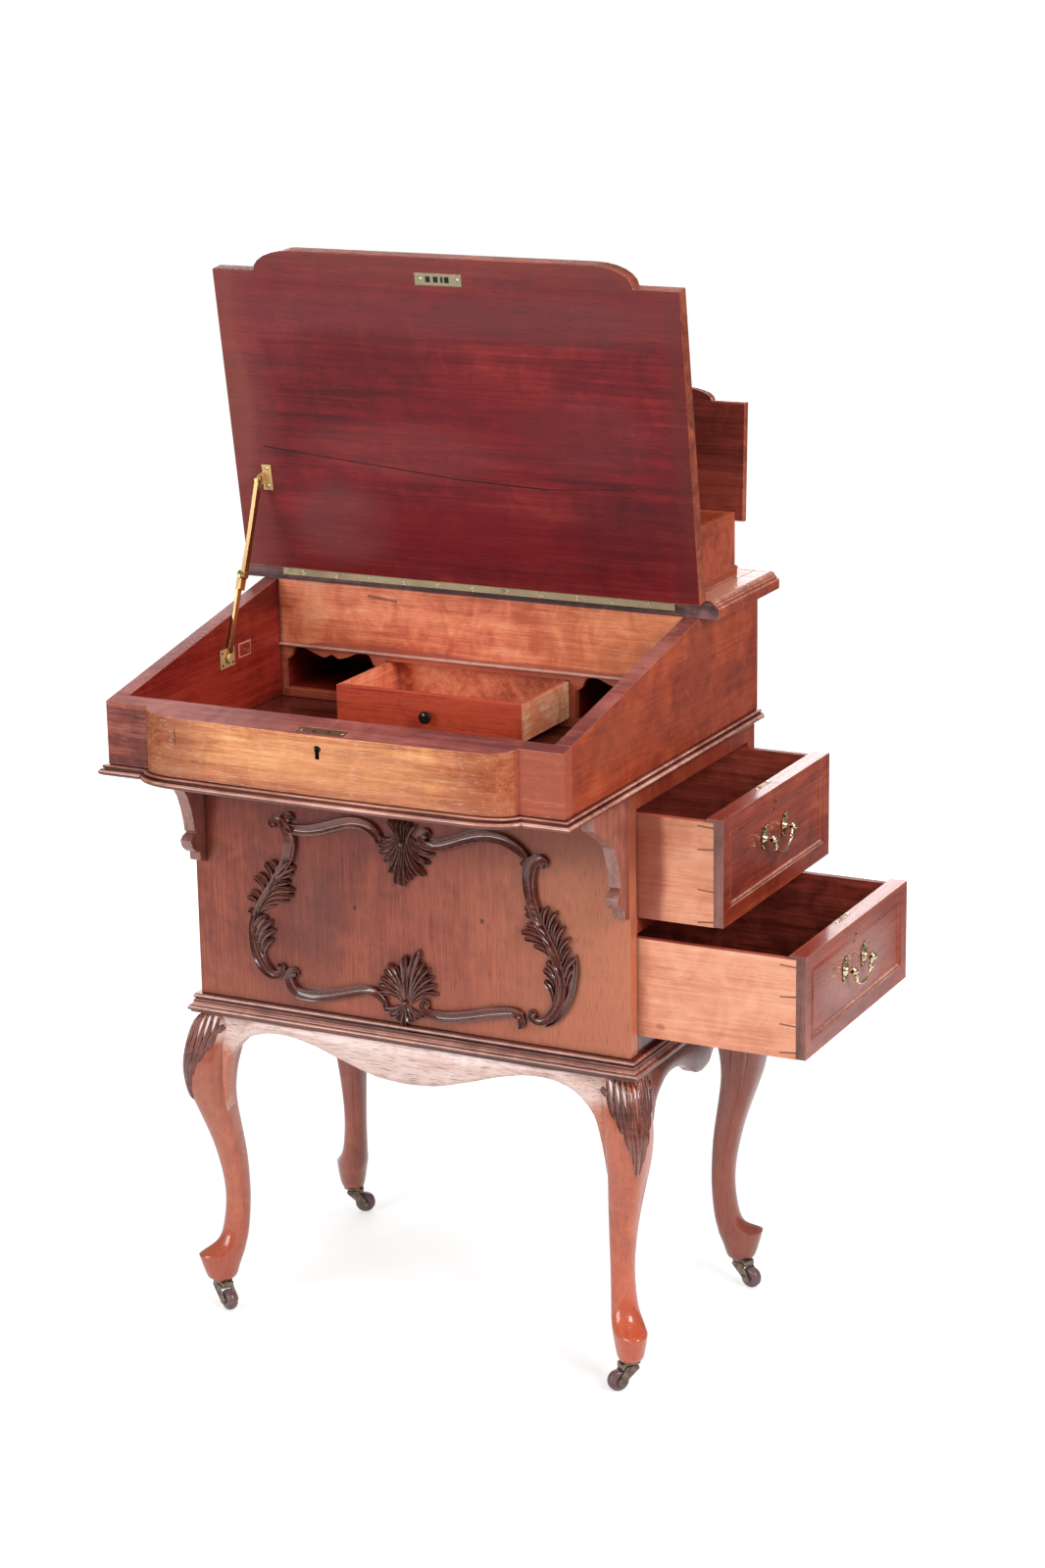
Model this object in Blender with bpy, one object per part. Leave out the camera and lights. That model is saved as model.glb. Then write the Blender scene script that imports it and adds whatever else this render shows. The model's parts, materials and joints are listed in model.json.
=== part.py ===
import math

import bmesh
import bpy
from mathutils import Vector

# Clearances
SEAT_GAP = 0.0003
SLIDE_GAP = 0.0006
REVEAL = 0.0012
OVERRUN = 0.004

# Heights, from the floor up
WHEEL_RADIUS = 0.0125
CASTER_HEIGHT = 0.0337
LEG_HEIGHT = 0.335
BASE_THICKNESS = 0.0215
PEDESTAL_HEIGHT = 0.2995
FLOOR_THICKNESS = 0.0115
RAIL_HEIGHT = 0.0705
SHELF_THICKNESS = 0.020

LEG_TOP = CASTER_HEIGHT + SEAT_GAP + LEG_HEIGHT
BASE_BOTTOM = LEG_TOP + SEAT_GAP
BASE_TOP = BASE_BOTTOM + BASE_THICKNESS
PEDESTAL_BOTTOM = BASE_TOP + SEAT_GAP
PEDESTAL_TOP = PEDESTAL_BOTTOM + PEDESTAL_HEIGHT
FLOOR_BOTTOM = PEDESTAL_TOP + SEAT_GAP
FLOOR_TOP = FLOOR_BOTTOM + FLOOR_THICKNESS
CARCASS_BOTTOM = FLOOR_TOP + SEAT_GAP
FRONT_TOP = CARCASS_BOTTOM + RAIL_HEIGHT

# Writing box
CARCASS_WIDTH = 0.550
CARCASS_DEPTH = 0.498
SIDE_THICKNESS = 0.019
RAIL_THICKNESS = 0.018
BACK_THICKNESS = 0.012
SLOPE_ANGLE = 11.6
BREAK_HALF_WIDTH = 0.2226
BREAK_QUARTER = 0.0434
BREAK_REACH = 0.020
BREAK_BOW = 0.003
FLOOR_MOULDING = 0.009

# Shelf behind the lid, with its moulded ends
SHELF_FRONT = 0.335
SHELF_BACK_OVERHANG = 0.006
SHELF_SIDE_OVERHANG = 0.0235

# Writing lid and its long hinge
LID_THICKNESS = 0.0175
LID_SIDE_OVERHANG = 0.0093
LID_FRONT_OVERHANG = 0.0125
LID_BREAK_MARGIN = 0.0089
LID_QUARTER = 0.048
LID_REACH = 0.024
LID_TRAVEL_ANGLE = 93.1
LID_REST_GAP = 0.0005
LID_HINGE_GAP = 0.0035
LID_FACE_BEHIND_AXIS = 0.001
KNUCKLE_RADIUS = 0.0017
KNUCKLE_COUNT = 10
LEAF_THICKNESS = 0.001
LEAF_HALF_LENGTH = 0.247
SHELF_LEAF_HEIGHT = 0.009
LID_LEAF_DEPTH = 0.014
LOCK_PLATE_LENGTH = 0.057
LOCK_PLATE_WIDTH = 0.0135
LOCK_PLATE_THICKNESS = 0.0012
LOCK_CASE_LENGTH = 0.038
LOCK_CASE_WIDTH = 0.009
LOCK_CASE_DEPTH = 0.022
LOCK_PLATE_FRONT = 0.019
KEYHOLE_RADIUS = 0.0022
KEYHOLE_LENGTH = 0.0095
KEYHOLE_DEPTH = 0.005

# Brass folding stay
STAY_ARM_THICKNESS = 0.0022
STAY_ARM_WIDTH = 0.009
STAY_PLATE_THICKNESS = 0.0012
STAY_PLATE_LENGTH = 0.030
STAY_PLATE_HEIGHT = 0.022
STAY_WALL_PIVOT_Y = 0.2178
STAY_WALL_PIVOT_RISE = 0.0710
STAY_LOWER_LENGTH = 0.0957
STAY_LID_PIVOT_ALONG = 0.112
STAY_LID_PIVOT_BELOW = 0.0278
STAY_PIN_RADIUS = 0.0016
STAY_EAR_WIDTH = 0.012
STAY_FOOT_LENGTH = 0.030
STAY_FOOT_WIDTH = 0.012

# Well fittings
WELL_BOARD_THICKNESS = 0.010
PIGEONHOLE_FLOOR = 0.0098
PARTITION_THICKNESS = 0.007
INNER_OPENING_HALF = 0.117
INNER_OPENING_HEIGHT = 0.0445
PIGEONHOLE_HEIGHT = 0.0505
PIGEONHOLE_MARGIN = 0.004
VALANCE_DROP = 0.019
BEAD_HEIGHT = 0.004
BEAD_REACH = 0.003
BEAD_RISE = 0.062
INNER_DRAWER_OUT = 0.115
INNER_DRAWER_LENGTH = 0.140
INNER_FRONT_THICKNESS = 0.009
INNER_WALL = 0.005
KNOB_RADIUS = 0.0075
KNOB_LENGTH = 0.012
KNOB_DROP = 0.003

# Stationery box
BOX_HALF_WIDTH = 0.262
BOX_FRONT = 0.352
BOX_BACK = 0.4625
BOX_HEIGHT = 0.0725
BOX_WALL = 0.007
BOX_FLOOR = 0.006
BOX_BREAK_REACH = 0.014
BOX_BREAK_QUARTER = 0.030
BOX_BEAD_REACH = 0.003
BOX_PLINTH_REACH = 0.002
BOX_BEAD_BOTTOM = 0.0085
BOX_BEAD_TOP = 0.0120
BOX_LID_OVERHANG = 0.010
BOX_LID_THICKNESS = 0.010
BOX_LID_BACK_OVERHANG = 0.0125
BOX_LID_OPEN_ANGLE = 92.4
BOX_LID_RISE = 0.001
BOX_LID_AXIS_BEHIND = 0.001

# Pedestal and its side drawers
PEDESTAL_INSET = 0.0035
PEDESTAL_FRONT = 0.160
PANEL_THICKNESS = 0.018
BACK_PANEL_THICKNESS = 0.0194
TOP_BOARD = 0.0233
DIVIDER = 0.0175
BASE_BLOCK = 0.0207
LOWER_OPENING = 0.117
DRAWER_LENGTH = 0.505
DRAWER_FRONT_THICKNESS = 0.0195
DRAWER_LAP = 0.011
DRAWER_WALL = 0.008
DRAWER_BOTTOM = 0.006
DRAWER_SIDE_DROP = 0.004
PANEL_FRAME = 0.0175
PANEL_SINK = 0.002
PANEL_BEVEL = 0.0018
UPPER_DRAWER_OUT = 0.100
LOWER_DRAWER_OUT = 0.1945
LOCK_FORWARD = 0.007
KEYHOLE_DROP = 0.0175
HANDLE_CENTRES = 0.055
HANDLE_RISE = 0.009
POST_BASE_RADIUS = 0.0075
POST_NECK_RADIUS = 0.0036
POST_HEAD_RADIUS = 0.0050
POST_REACH = 0.0105
BAIL_RADIUS = 0.0016
BAIL_DROP = 0.0225

# Brackets under the overhang
BRACKET_THICKNESS = 0.0145
BRACKET_FRONT = 0.073
BRACKET_HEIGHT = 0.141

# Base moulding, aprons and legs
BASE_OVERHANG = 0.0125
BASE_FRONT_REACH = 0.012
APRON_INSET = 0.005
APRON_THICKNESS = 0.015
FRONT_APRON_DROP = 0.062
POST_DIAGONAL = 0.0735

# Carving on the front panel
CARVING_DEPTH = 0.009
CARVING_WIDTH = 0.026

# Casters
CASTER_TRAIL = 0.015
WHEEL_WIDTH = 0.013
AXLE_RADIUS = 0.0016
CHEEK_THICKNESS = 0.0015
CHEEK_GAP = 0.0006
CHEEK_END_RADIUS = 0.004
BRIDGE_HALF_LENGTH = 0.007
BRIDGE_HEIGHT = 0.0028
NECK_RADIUS = 0.0055
FLANGE_RADIUS = 0.0115
FLANGE_HEIGHT = 0.0028
CASTER_TURNS = {
    "front_left": -30,
    "front_right": 228,
    "back_left": 25,
    "back_right": -15,
}

# Derived planes
HALF_WIDTH = CARCASS_WIDTH / 2
INNER_HALF = HALF_WIDTH - SIDE_THICKNESS
PEDESTAL_HALF = HALF_WIDTH - PEDESTAL_INSET
BASE_HALF = PEDESTAL_HALF + BASE_OVERHANG
BASE_FRONT = PEDESTAL_FRONT - BASE_FRONT_REACH
SLOPE_RISE = math.tan(math.radians(SLOPE_ANGLE))
SLOPE_COSINE = math.cos(math.radians(SLOPE_ANGLE))
SHELF_BOTTOM = FRONT_TOP + SHELF_FRONT * SLOPE_RISE
SHELF_TOP = SHELF_BOTTOM + SHELF_THICKNESS
AXIS_TO_SHELF = KNUCKLE_RADIUS + SEAT_GAP
LID_AXIS_Y = SHELF_FRONT - AXIS_TO_SHELF
LID_UNDERSIDE = LID_FACE_BEHIND_AXIS - LID_THICKNESS
LID_AXIS_Z = (
    FRONT_TOP + LID_AXIS_Y * SLOPE_RISE + (LID_REST_GAP - LID_UNDERSIDE) / SLOPE_COSINE
)
WELL_FRONT = SHELF_FRONT + SEAT_GAP
WELL_BACK = WELL_FRONT + WELL_BOARD_THICKNESS
WELL_FLOOR = CARCASS_BOTTOM + PIGEONHOLE_FLOOR
BOX_TOP = SHELF_TOP + SEAT_GAP + BOX_HEIGHT
DRAWER_LEFT = -PEDESTAL_HALF + PANEL_THICKNESS
DRAWER_FRONT_Y = PEDESTAL_FRONT + PANEL_THICKNESS
DRAWER_BACK_Y = CARCASS_DEPTH - BACK_PANEL_THICKNESS
LOWER_FLOOR = BASE_TOP + BASE_BLOCK
LOWER_CEILING = LOWER_FLOOR + LOWER_OPENING
UPPER_FLOOR = LOWER_CEILING + DIVIDER
UPPER_CEILING = PEDESTAL_TOP - TOP_BOARD
STAY_LOWER_X = -INNER_HALF + STAY_PLATE_THICKNESS + 2 * SEAT_GAP
STAY_UPPER_X = STAY_LOWER_X + STAY_ARM_THICKNESS + SEAT_GAP
POST_INSET = POST_DIAGONAL / math.sqrt(2)

SMOOTH_ANGLE = math.radians(35)


def finish(name, colour, roughness, metallic=0.0):
    made = bpy.data.materials.new(name)
    made.use_nodes = True
    shader = made.node_tree.nodes["Principled BSDF"]
    shader.inputs["Base Color"].default_value = (*colour, 1.0)
    shader.inputs["Roughness"].default_value = roughness
    shader.inputs["Metallic"].default_value = metallic
    made.diffuse_color = (*colour, 1.0)
    return made


def spot(axis, along, first, second):
    if axis == "X":
        return Vector((along, first, second))
    if axis == "Y":
        return Vector((first, along, second))
    return Vector((first, second, along))


def pivot(name, place, turn=(0, 0, 0), parent=None):
    made = bpy.data.objects.new(name, None)
    bpy.context.collection.objects.link(made)
    made.location = place
    made.rotation_euler = turn
    made.parent = parent
    return made


def add(name, bm, material, place=(0, 0, 0), parent=None, smooth=False):
    bmesh.ops.recalc_face_normals(bm, faces=bm.faces)
    mesh = bpy.data.meshes.new(name)
    bm.to_mesh(mesh)
    bm.free()
    mesh.materials.append(material)
    if smooth:
        mesh.shade_smooth()
        mesh.set_sharp_from_angle(angle=SMOOTH_ANGLE)
    return put(name, mesh, place, parent)


def put(name, mesh, place, parent=None):
    made = bpy.data.objects.new(name, mesh)
    bpy.context.collection.objects.link(made)
    made.location = place
    made.parent = parent
    return made


def block(low, high, bm=None):
    bm = bm or bmesh.new()
    low = Vector(low)
    high = Vector(high)
    verts = bmesh.ops.create_cube(bm, size=1)["verts"]
    bmesh.ops.scale(bm, vec=high - low, verts=verts)
    bmesh.ops.translate(bm, vec=(low + high) / 2, verts=verts)
    return bm


def board(name, material, low, high, parent=None):
    low = Vector(low)
    high = Vector(high)
    middle = (low + high) / 2
    return add(name, block(low - middle, high - middle), material, middle, parent)


def prism(outline, axis, start, end, bm=None):
    bm = bm or bmesh.new()
    face = bm.faces.new([bm.verts.new(spot(axis, start, a, b)) for a, b in outline])
    grown = bmesh.ops.extrude_face_region(bm, geom=[face])["geom"]
    moved = [item for item in grown if isinstance(item, bmesh.types.BMVert)]
    bmesh.ops.translate(bm, verts=moved, vec=spot(axis, end - start, 0, 0))
    return bm


def loft(rings, closed=False, bm=None):
    bm = bm or bmesh.new()
    loops = [[bm.verts.new(point) for point in ring] for ring in rings]
    pairs = list(zip(loops, loops[1:]))
    if closed:
        pairs.append((loops[-1], loops[0]))
    for lower, upper in pairs:
        for i in range(len(lower)):
            j = (i + 1) % len(lower)
            bm.faces.new((lower[i], lower[j], upper[j], upper[i]))
    if not closed:
        bm.faces.new(loops[0])
        bm.faces.new(loops[-1])
    return bm


def turned(profile, axis, sides, centre=(0, 0, 0), bm=None):
    centre = Vector(centre)
    turns = [math.tau * i / sides for i in range(sides)]
    rings = [
        [centre + spot(axis, along, r * math.cos(t), r * math.sin(t)) for t in turns]
        for r, along in profile
    ]
    return loft(rings, bm=bm)


def smooth_path(points, steps):
    path = []
    last = len(points) - 1
    for i in range(last):
        before = Vector(points[max(i - 1, 0)])
        start = Vector(points[i])
        end = Vector(points[i + 1])
        after = Vector(points[min(i + 2, last)])
        for step in range(steps):
            t = step / steps
            bend = (2 * before - 5 * start + 4 * end - after) * t * t
            twist = (3 * start - before - 3 * end + after) * t * t * t
            path.append(start + ((end - before) * t + bend + twist) / 2)
    path.append(Vector(points[last]))
    return path


def sweep(path, widths, heights, normal, sides, bm=None):
    rings = []
    for i, centre in enumerate(path):
        along = path[min(i + 1, len(path) - 1)] - path[max(i - 1, 0)]
        across = along.normalized().cross(normal)
        ring = []
        for k in range(sides):
            t = math.tau * (k + 1 / 2) / sides
            side = across * (widths[i] * math.cos(t))
            ring.append(centre + side + normal * (heights[i] * math.sin(t)))
        rings.append(ring)
    return loft(rings, bm=bm)


def boolean(target, operation, tool, own=False):
    tool.hide_render = True
    tool.display_type = "WIRE"
    tool.parent = target.parent
    modifier = target.modifiers.new(operation.title(), "BOOLEAN")
    modifier.operation = operation
    modifier.object = tool
    modifier.use_self = own


def breakfront(half, front, middle_half, quarter, reach, bow, offset=0):
    edge = middle_half + offset
    width = quarter + offset
    steps = 6
    left = [(-half - offset, front - offset)]
    for i in range(steps + 1):
        t = math.pi / 2 * i / steps
        x = -edge + width * (1 - math.cos(t))
        left.append((x, front - offset - reach * math.sin(t)))
    flat = middle_half - quarter
    for i in range(1, 3):
        x = -flat + flat * i / 3
        left.append((x, front - offset - reach - bow * (1 - (x / flat) ** 2)))
    middle = [(0, front - offset - reach - bow)]
    right = [(-x, y) for x, y in reversed(left)]
    return left + middle + right


def keyhole(name, axis, centre, face, depth):
    across, up = centre
    outline = []
    count = 10
    for i in range(count + 1):
        t = math.radians(-60) + math.radians(300) * i / count
        outline.append((across + KEYHOLE_RADIUS * math.cos(t), up + KEYHOLE_RADIUS * math.sin(t)))
    half = KEYHOLE_RADIUS / 2
    foot = up + KEYHOLE_RADIUS - KEYHOLE_LENGTH
    outline += [(across - half, foot), (across + half, foot)]
    return add(name, prism(outline, axis, face, face + depth), BRASS)


for old in list(bpy.data.objects):
    bpy.data.objects.remove(old, do_unlink=True)

MAHOGANY = finish("mahogany", (0.30, 0.10, 0.06), 0.28)
DARK_MAHOGANY = finish("dark_mahogany", (0.16, 0.045, 0.03), 0.26)
DRAWER_PINE = finish("drawer_lining", (0.80, 0.45, 0.30), 0.5)
BRASS = finish("brass", (0.72, 0.50, 0.19), 0.32, 1.0)
DARK_BRASS = finish("dark_brass", (0.20, 0.15, 0.09), 0.42, 1.0)
EBONY = finish("ebonised_wood", (0.02, 0.02, 0.02), 0.3)


def carcass_outline(offset=0):
    return breakfront(
        HALF_WIDTH, 0, BREAK_HALF_WIDTH, BREAK_QUARTER, BREAK_REACH, BREAK_BOW, offset
    )


def carcass():
    moulding_shares = [(0.3, 0.0), (0.8, 0.16), (1.0, 0.42), (0.9, 0.66), (0.45, 0.86), (0, 1.0)]
    rings = []
    for reach_share, height_share in moulding_shares:
        offset = FLOOR_MOULDING * reach_share
        outline = carcass_outline(offset)
        outline += [(HALF_WIDTH + offset, CARCASS_DEPTH), (-HALF_WIDTH - offset, CARCASS_DEPTH)]
        z = FLOOR_BOTTOM + FLOOR_THICKNESS * height_share
        rings.append([(x, y, z) for x, y in outline])
    add("carcass_floor", loft(rings), MAHOGANY, smooth=True)

    outline = carcass_outline()
    outline += [(HALF_WIDTH, RAIL_THICKNESS), (-HALF_WIDTH, RAIL_THICKNESS)]
    low = [(x, y, CARCASS_BOTTOM) for x, y in outline]
    high = [(x, y, FRONT_TOP + y * SLOPE_RISE) for x, y in outline]
    rail = add("front_rail", loft([low, high]), MAHOGANY, smooth=True)

    slope = math.radians(SLOPE_ANGLE)
    lock = pivot("lock_place", (0, 0, FRONT_TOP), (slope, 0, 0))
    front = -LOCK_PLATE_FRONT
    back = front + LOCK_PLATE_WIDTH
    half = LOCK_PLATE_LENGTH / 2
    case_half = LOCK_CASE_LENGTH / 2
    case_front = (front + back - LOCK_CASE_WIDTH) / 2
    case_back = case_front + LOCK_CASE_WIDTH
    top = -SEAT_GAP
    under = top - LOCK_PLATE_THICKNESS
    deep = under - LOCK_CASE_DEPTH
    plate = block((-half, front, under), (half, back, top))
    lock_body = add("rail_lock", plate, BRASS, parent=lock)
    case = block((-case_half, case_front, deep), (case_half, case_back, under + SEAT_GAP))
    boolean(lock_body, "UNION", add("lock_case", case, BRASS, parent=lock))
    g = SEAT_GAP
    seat = block((-half - g, front - g, under - g), (half + g, back + g, OVERRUN))
    seat_tool = add("lock_seat", seat, BRASS, parent=lock)
    boolean(rail, "DIFFERENCE", seat_tool)
    seat_tool.parent = lock
    mortise_low = (-case_half - g, case_front - g, deep - g)
    mortise = block(mortise_low, (case_half + g, case_back + g, OVERRUN))
    mortise_tool = add("lock_mortise", mortise, BRASS, parent=lock)
    boolean(rail, "DIFFERENCE", mortise_tool)
    mortise_tool.parent = lock
    rail_face = -BREAK_REACH - BREAK_BOW
    hole_height = FRONT_TOP - BREAK_REACH
    boolean(
        rail,
        "DIFFERENCE",
        keyhole("rail_keyhole", "Y", (0, hole_height), rail_face - OVERRUN, OVERRUN + KEYHOLE_DEPTH),
    )

    side_front = RAIL_THICKNESS + SEAT_GAP
    side_top = SHELF_BOTTOM - SEAT_GAP
    profile = [
        (side_front, CARCASS_BOTTOM),
        (CARCASS_DEPTH, CARCASS_BOTTOM),
        (CARCASS_DEPTH, side_top),
        (SHELF_FRONT, side_top),
        (side_front, FRONT_TOP + side_front * SLOPE_RISE),
    ]
    for name, outer in (("carcass_left", -HALF_WIDTH), ("carcass_right", INNER_HALF)):
        add(name, prism(profile, "X", 0, SIDE_THICKNESS), MAHOGANY, (outer, 0, 0))
    inner = INNER_HALF - SEAT_GAP
    low = (-inner, CARCASS_DEPTH - BACK_THICKNESS, CARCASS_BOTTOM)
    board("carcass_back", MAHOGANY, low, (inner, CARCASS_DEPTH, side_top))


def three_sided(half, front, back, z):
    return [(-half, front, z), (half, front, z), (half, back, z), (-half, back, z)]


def shelf():
    edge_shares = [(0.93, 0.0), (1.0, 0.08), (1.0, 0.58), (0.8, 0.6), (0.76, 0.76), (0.5, 0.98), (0.45, 1.0)]
    back = CARCASS_DEPTH + SHELF_BACK_OVERHANG
    rings = []
    for reach_share, height_share in edge_shares:
        half = HALF_WIDTH + SHELF_SIDE_OVERHANG * reach_share
        rings.append(three_sided(half, SHELF_FRONT, back, SHELF_THICKNESS * height_share))
    add("shelf", loft(rings), MAHOGANY, (0, 0, SHELF_BOTTOM))


def knuckle_spans(offset):
    pitch = 2 * LEAF_HALF_LENGTH / (2 * KNUCKLE_COUNT)
    for i in range(KNUCKLE_COUNT):
        start = -LEAF_HALF_LENGTH + pitch * (2 * i + offset)
        yield start + SEAT_GAP / 2, start + pitch - SEAT_GAP / 2


def knuckle(bm, start, end):
    sides = 10
    turned([(KNUCKLE_RADIUS, start), (KNUCKLE_RADIUS, end)], "X", sides, bm=bm)


def leaf(name, plate_low, plate_high, web_low, web_high, offset, parent):
    plate = add(name, block(plate_low, plate_high), BRASS, parent=parent)
    bm = bmesh.new()
    for start, end in knuckle_spans(offset):
        knuckle(bm, start, end)
    boolean(plate, "UNION", add(name + "_knuckles", bm, BRASS), own=False)
    webs = bmesh.new()
    for start, end in knuckle_spans(offset):
        block((start, *web_low), (end, *web_high), webs)
    boolean(plate, "UNION", add(name + "_webs", webs, BRASS), own=False)
    return plate


def writing_lid():
    turn = math.radians(SLOPE_ANGLE - LID_TRAVEL_ANGLE)
    hinge = pivot("lid_axis", (0, LID_AXIS_Y, LID_AXIS_Z), (turn, 0, 0))
    length = (LID_AXIS_Y + LID_FRONT_OVERHANG) / SLOPE_COSINE
    half = HALF_WIDTH + LID_SIDE_OVERHANG
    middle = BREAK_HALF_WIDTH + LID_BREAK_MARGIN
    outline = breakfront(half, -length, middle, LID_QUARTER, LID_REACH, 0)
    outline += [(half, -LID_HINGE_GAP), (-half, -LID_HINGE_GAP)]
    top = LID_FACE_BEHIND_AXIS
    bottom = LID_UNDERSIDE
    body = add("writing_lid", prism(outline, "Z", bottom, top), MAHOGANY, parent=hinge, smooth=True)
    bevel = body.modifiers.new("edge", "BEVEL")
    bevel.width = SLIDE_GAP * 2
    bevel.segments = 2
    bevel.limit_method = "ANGLE"

    lock_centre = LOCK_PLATE_WIDTH / 2 - LOCK_PLATE_FRONT
    along = (LID_AXIS_Y - lock_centre) / SLOPE_COSINE
    plate_half = LOCK_PLATE_LENGTH / 2
    near = along - LOCK_PLATE_WIDTH / 2
    far = along + LOCK_PLATE_WIDTH / 2
    face = bottom + SEAT_GAP
    low = (-plate_half, -far, face)
    board("lid_strike", BRASS, low, (plate_half, -near, face + LOCK_PLATE_THICKNESS), hinge)
    g = SEAT_GAP
    pocket_low = (-plate_half - g, -far - g, bottom - OVERRUN)
    pocket_high = (plate_half + g, -near + g, face + LOCK_PLATE_THICKNESS + g)
    boolean(body, "DIFFERENCE", add("strike_seat", block(pocket_low, pocket_high), BRASS))

    leaf_face = -LID_HINGE_GAP + SEAT_GAP
    leaf(
        "hinge_leaf_lid",
        (-LEAF_HALF_LENGTH, leaf_face, top - LID_LEAF_DEPTH),
        (LEAF_HALF_LENGTH, leaf_face + LEAF_THICKNESS, top - SEAT_GAP),
        (leaf_face + LEAF_THICKNESS / 2, -LEAF_THICKNESS),
        (0, top - SEAT_GAP),
        0,
        hinge,
    )
    stay_on_lid(hinge)
    return hinge


def shelf_leaf():
    axis = pivot("shelf_leaf_axis", (0, LID_AXIS_Y, LID_AXIS_Z))
    back = AXIS_TO_SHELF - SEAT_GAP
    top = -KNUCKLE_RADIUS - SEAT_GAP
    leaf(
        "hinge_leaf_shelf",
        (-LEAF_HALF_LENGTH, back - LEAF_THICKNESS, top - SHELF_LEAF_HEIGHT),
        (LEAF_HALF_LENGTH, back, top),
        (back - LEAF_THICKNESS, top - LEAF_THICKNESS),
        (back - SEAT_GAP, 0),
        1,
        axis,
    )


def lid_pivot_place():
    turn = math.radians(SLOPE_ANGLE - LID_TRAVEL_ANGLE)
    y = -STAY_LID_PIVOT_ALONG
    z = LID_FACE_BEHIND_AXIS - STAY_LID_PIVOT_BELOW
    turned_y = y * math.cos(turn) - z * math.sin(turn)
    turned_z = y * math.sin(turn) + z * math.cos(turn)
    return Vector((0, LID_AXIS_Y + turned_y, LID_AXIS_Z + turned_z))


def wall_pivot_place():
    return Vector((0, STAY_WALL_PIVOT_Y, CARCASS_BOTTOM + STAY_WALL_PIVOT_RISE))


def arm_outline(length):
    radius = STAY_ARM_WIDTH / 2
    waist_share = 0.62
    waist = radius * waist_share
    eye_steps = 7
    outline = []
    for i in range(eye_steps):
        t = math.radians(-130 + 260 * i / (eye_steps - 1))
        outline.append((radius * math.sin(t), length + radius * math.cos(t)))
    outline.append((waist, length / 2))
    for i in range(eye_steps):
        t = math.radians(50 + 260 * i / (eye_steps - 1))
        outline.append((radius * math.sin(t), radius * math.cos(t)))
    outline.append((-waist, length / 2))
    return outline


def pin_hole(arm, name, length, x):
    radius = STAY_PIN_RADIUS + SEAT_GAP
    start = x - OVERRUN
    end = x + STAY_ARM_THICKNESS + OVERRUN
    hole = turned([(radius, start), (radius, end)], "X", 12, (0, 0, length))
    boolean(arm, "DIFFERENCE", add(name, hole, BRASS))


def stay_arms():
    wall = wall_pivot_place()
    lid = lid_pivot_place()
    reach = lid - wall
    lean = -math.atan2(reach.y, reach.z)
    lower_axis = pivot("stay_wall_axis", wall, (lean, 0, 0))
    upper_axis = pivot("stay_lid_axis", lid, (lean + math.pi, 0, 0))
    lower = prism(arm_outline(STAY_LOWER_LENGTH), "X", 0, STAY_ARM_THICKNESS)
    lower_arm = add("stay_lower_arm", lower, BRASS, (STAY_LOWER_X, 0, 0), lower_axis)
    pin_hole(lower_arm, "lower_eye", 0, STAY_LOWER_X)
    upper = prism(arm_outline(reach.length - STAY_LOWER_LENGTH), "X", 0, STAY_ARM_THICKNESS)
    upper_arm = add("stay_upper_arm", upper, BRASS, (STAY_UPPER_X, 0, 0), upper_axis)
    pin_hole(upper_arm, "upper_eye", 0, STAY_UPPER_X)

    half = STAY_PLATE_LENGTH / 2
    tall = STAY_PLATE_HEIGHT / 2
    inner = -INNER_HALF + SEAT_GAP
    face = inner + STAY_PLATE_THICKNESS
    plate = board("stay_plate", BRASS, (inner, wall.y - half, wall.z - tall), (face, wall.y + half, wall.z + tall))
    pin_end = STAY_LOWER_X + STAY_ARM_THICKNESS
    pin = turned([(STAY_PIN_RADIUS, face - SEAT_GAP), (STAY_PIN_RADIUS, pin_end)], "X", 12, wall)
    boolean(plate, "UNION", add("wall_pin", pin, BRASS))


def stay_on_lid(hinge):
    centre_y = -STAY_LID_PIVOT_ALONG
    centre_z = LID_FACE_BEHIND_AXIS - STAY_LID_PIVOT_BELOW
    foot_top = LID_UNDERSIDE - SEAT_GAP
    foot_bottom = foot_top - STAY_PLATE_THICKNESS
    ear_x = STAY_UPPER_X + STAY_ARM_THICKNESS + SEAT_GAP
    ear_end = ear_x + STAY_ARM_THICKNESS
    half = STAY_FOOT_LENGTH / 2
    foot_low = (ear_x, centre_y - half, foot_bottom)
    foot = block(foot_low, (ear_x + STAY_FOOT_WIDTH, centre_y + half, foot_top))
    bracket = add("stay_bracket", foot, BRASS, parent=hinge)
    radius = STAY_EAR_WIDTH / 2
    ear = [(centre_y + radius, foot_bottom + SEAT_GAP), (centre_y - radius, foot_bottom + SEAT_GAP)]
    steps = 8
    for i in range(steps + 1):
        t = math.pi + math.pi * i / steps
        ear.append((centre_y + radius * math.cos(t), centre_z + radius * math.sin(t)))
    boolean(bracket, "UNION", add("bracket_ear", prism(ear, "X", ear_x + SEAT_GAP, ear_end), BRASS))
    pin = turned(
        [(STAY_PIN_RADIUS, STAY_UPPER_X), (STAY_PIN_RADIUS, ear_x + STAY_ARM_THICKNESS / 2)],
        "X",
        12,
        (0, centre_y, centre_z),
    )
    boolean(bracket, "UNION", add("bracket_pin", pin, BRASS))


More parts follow.
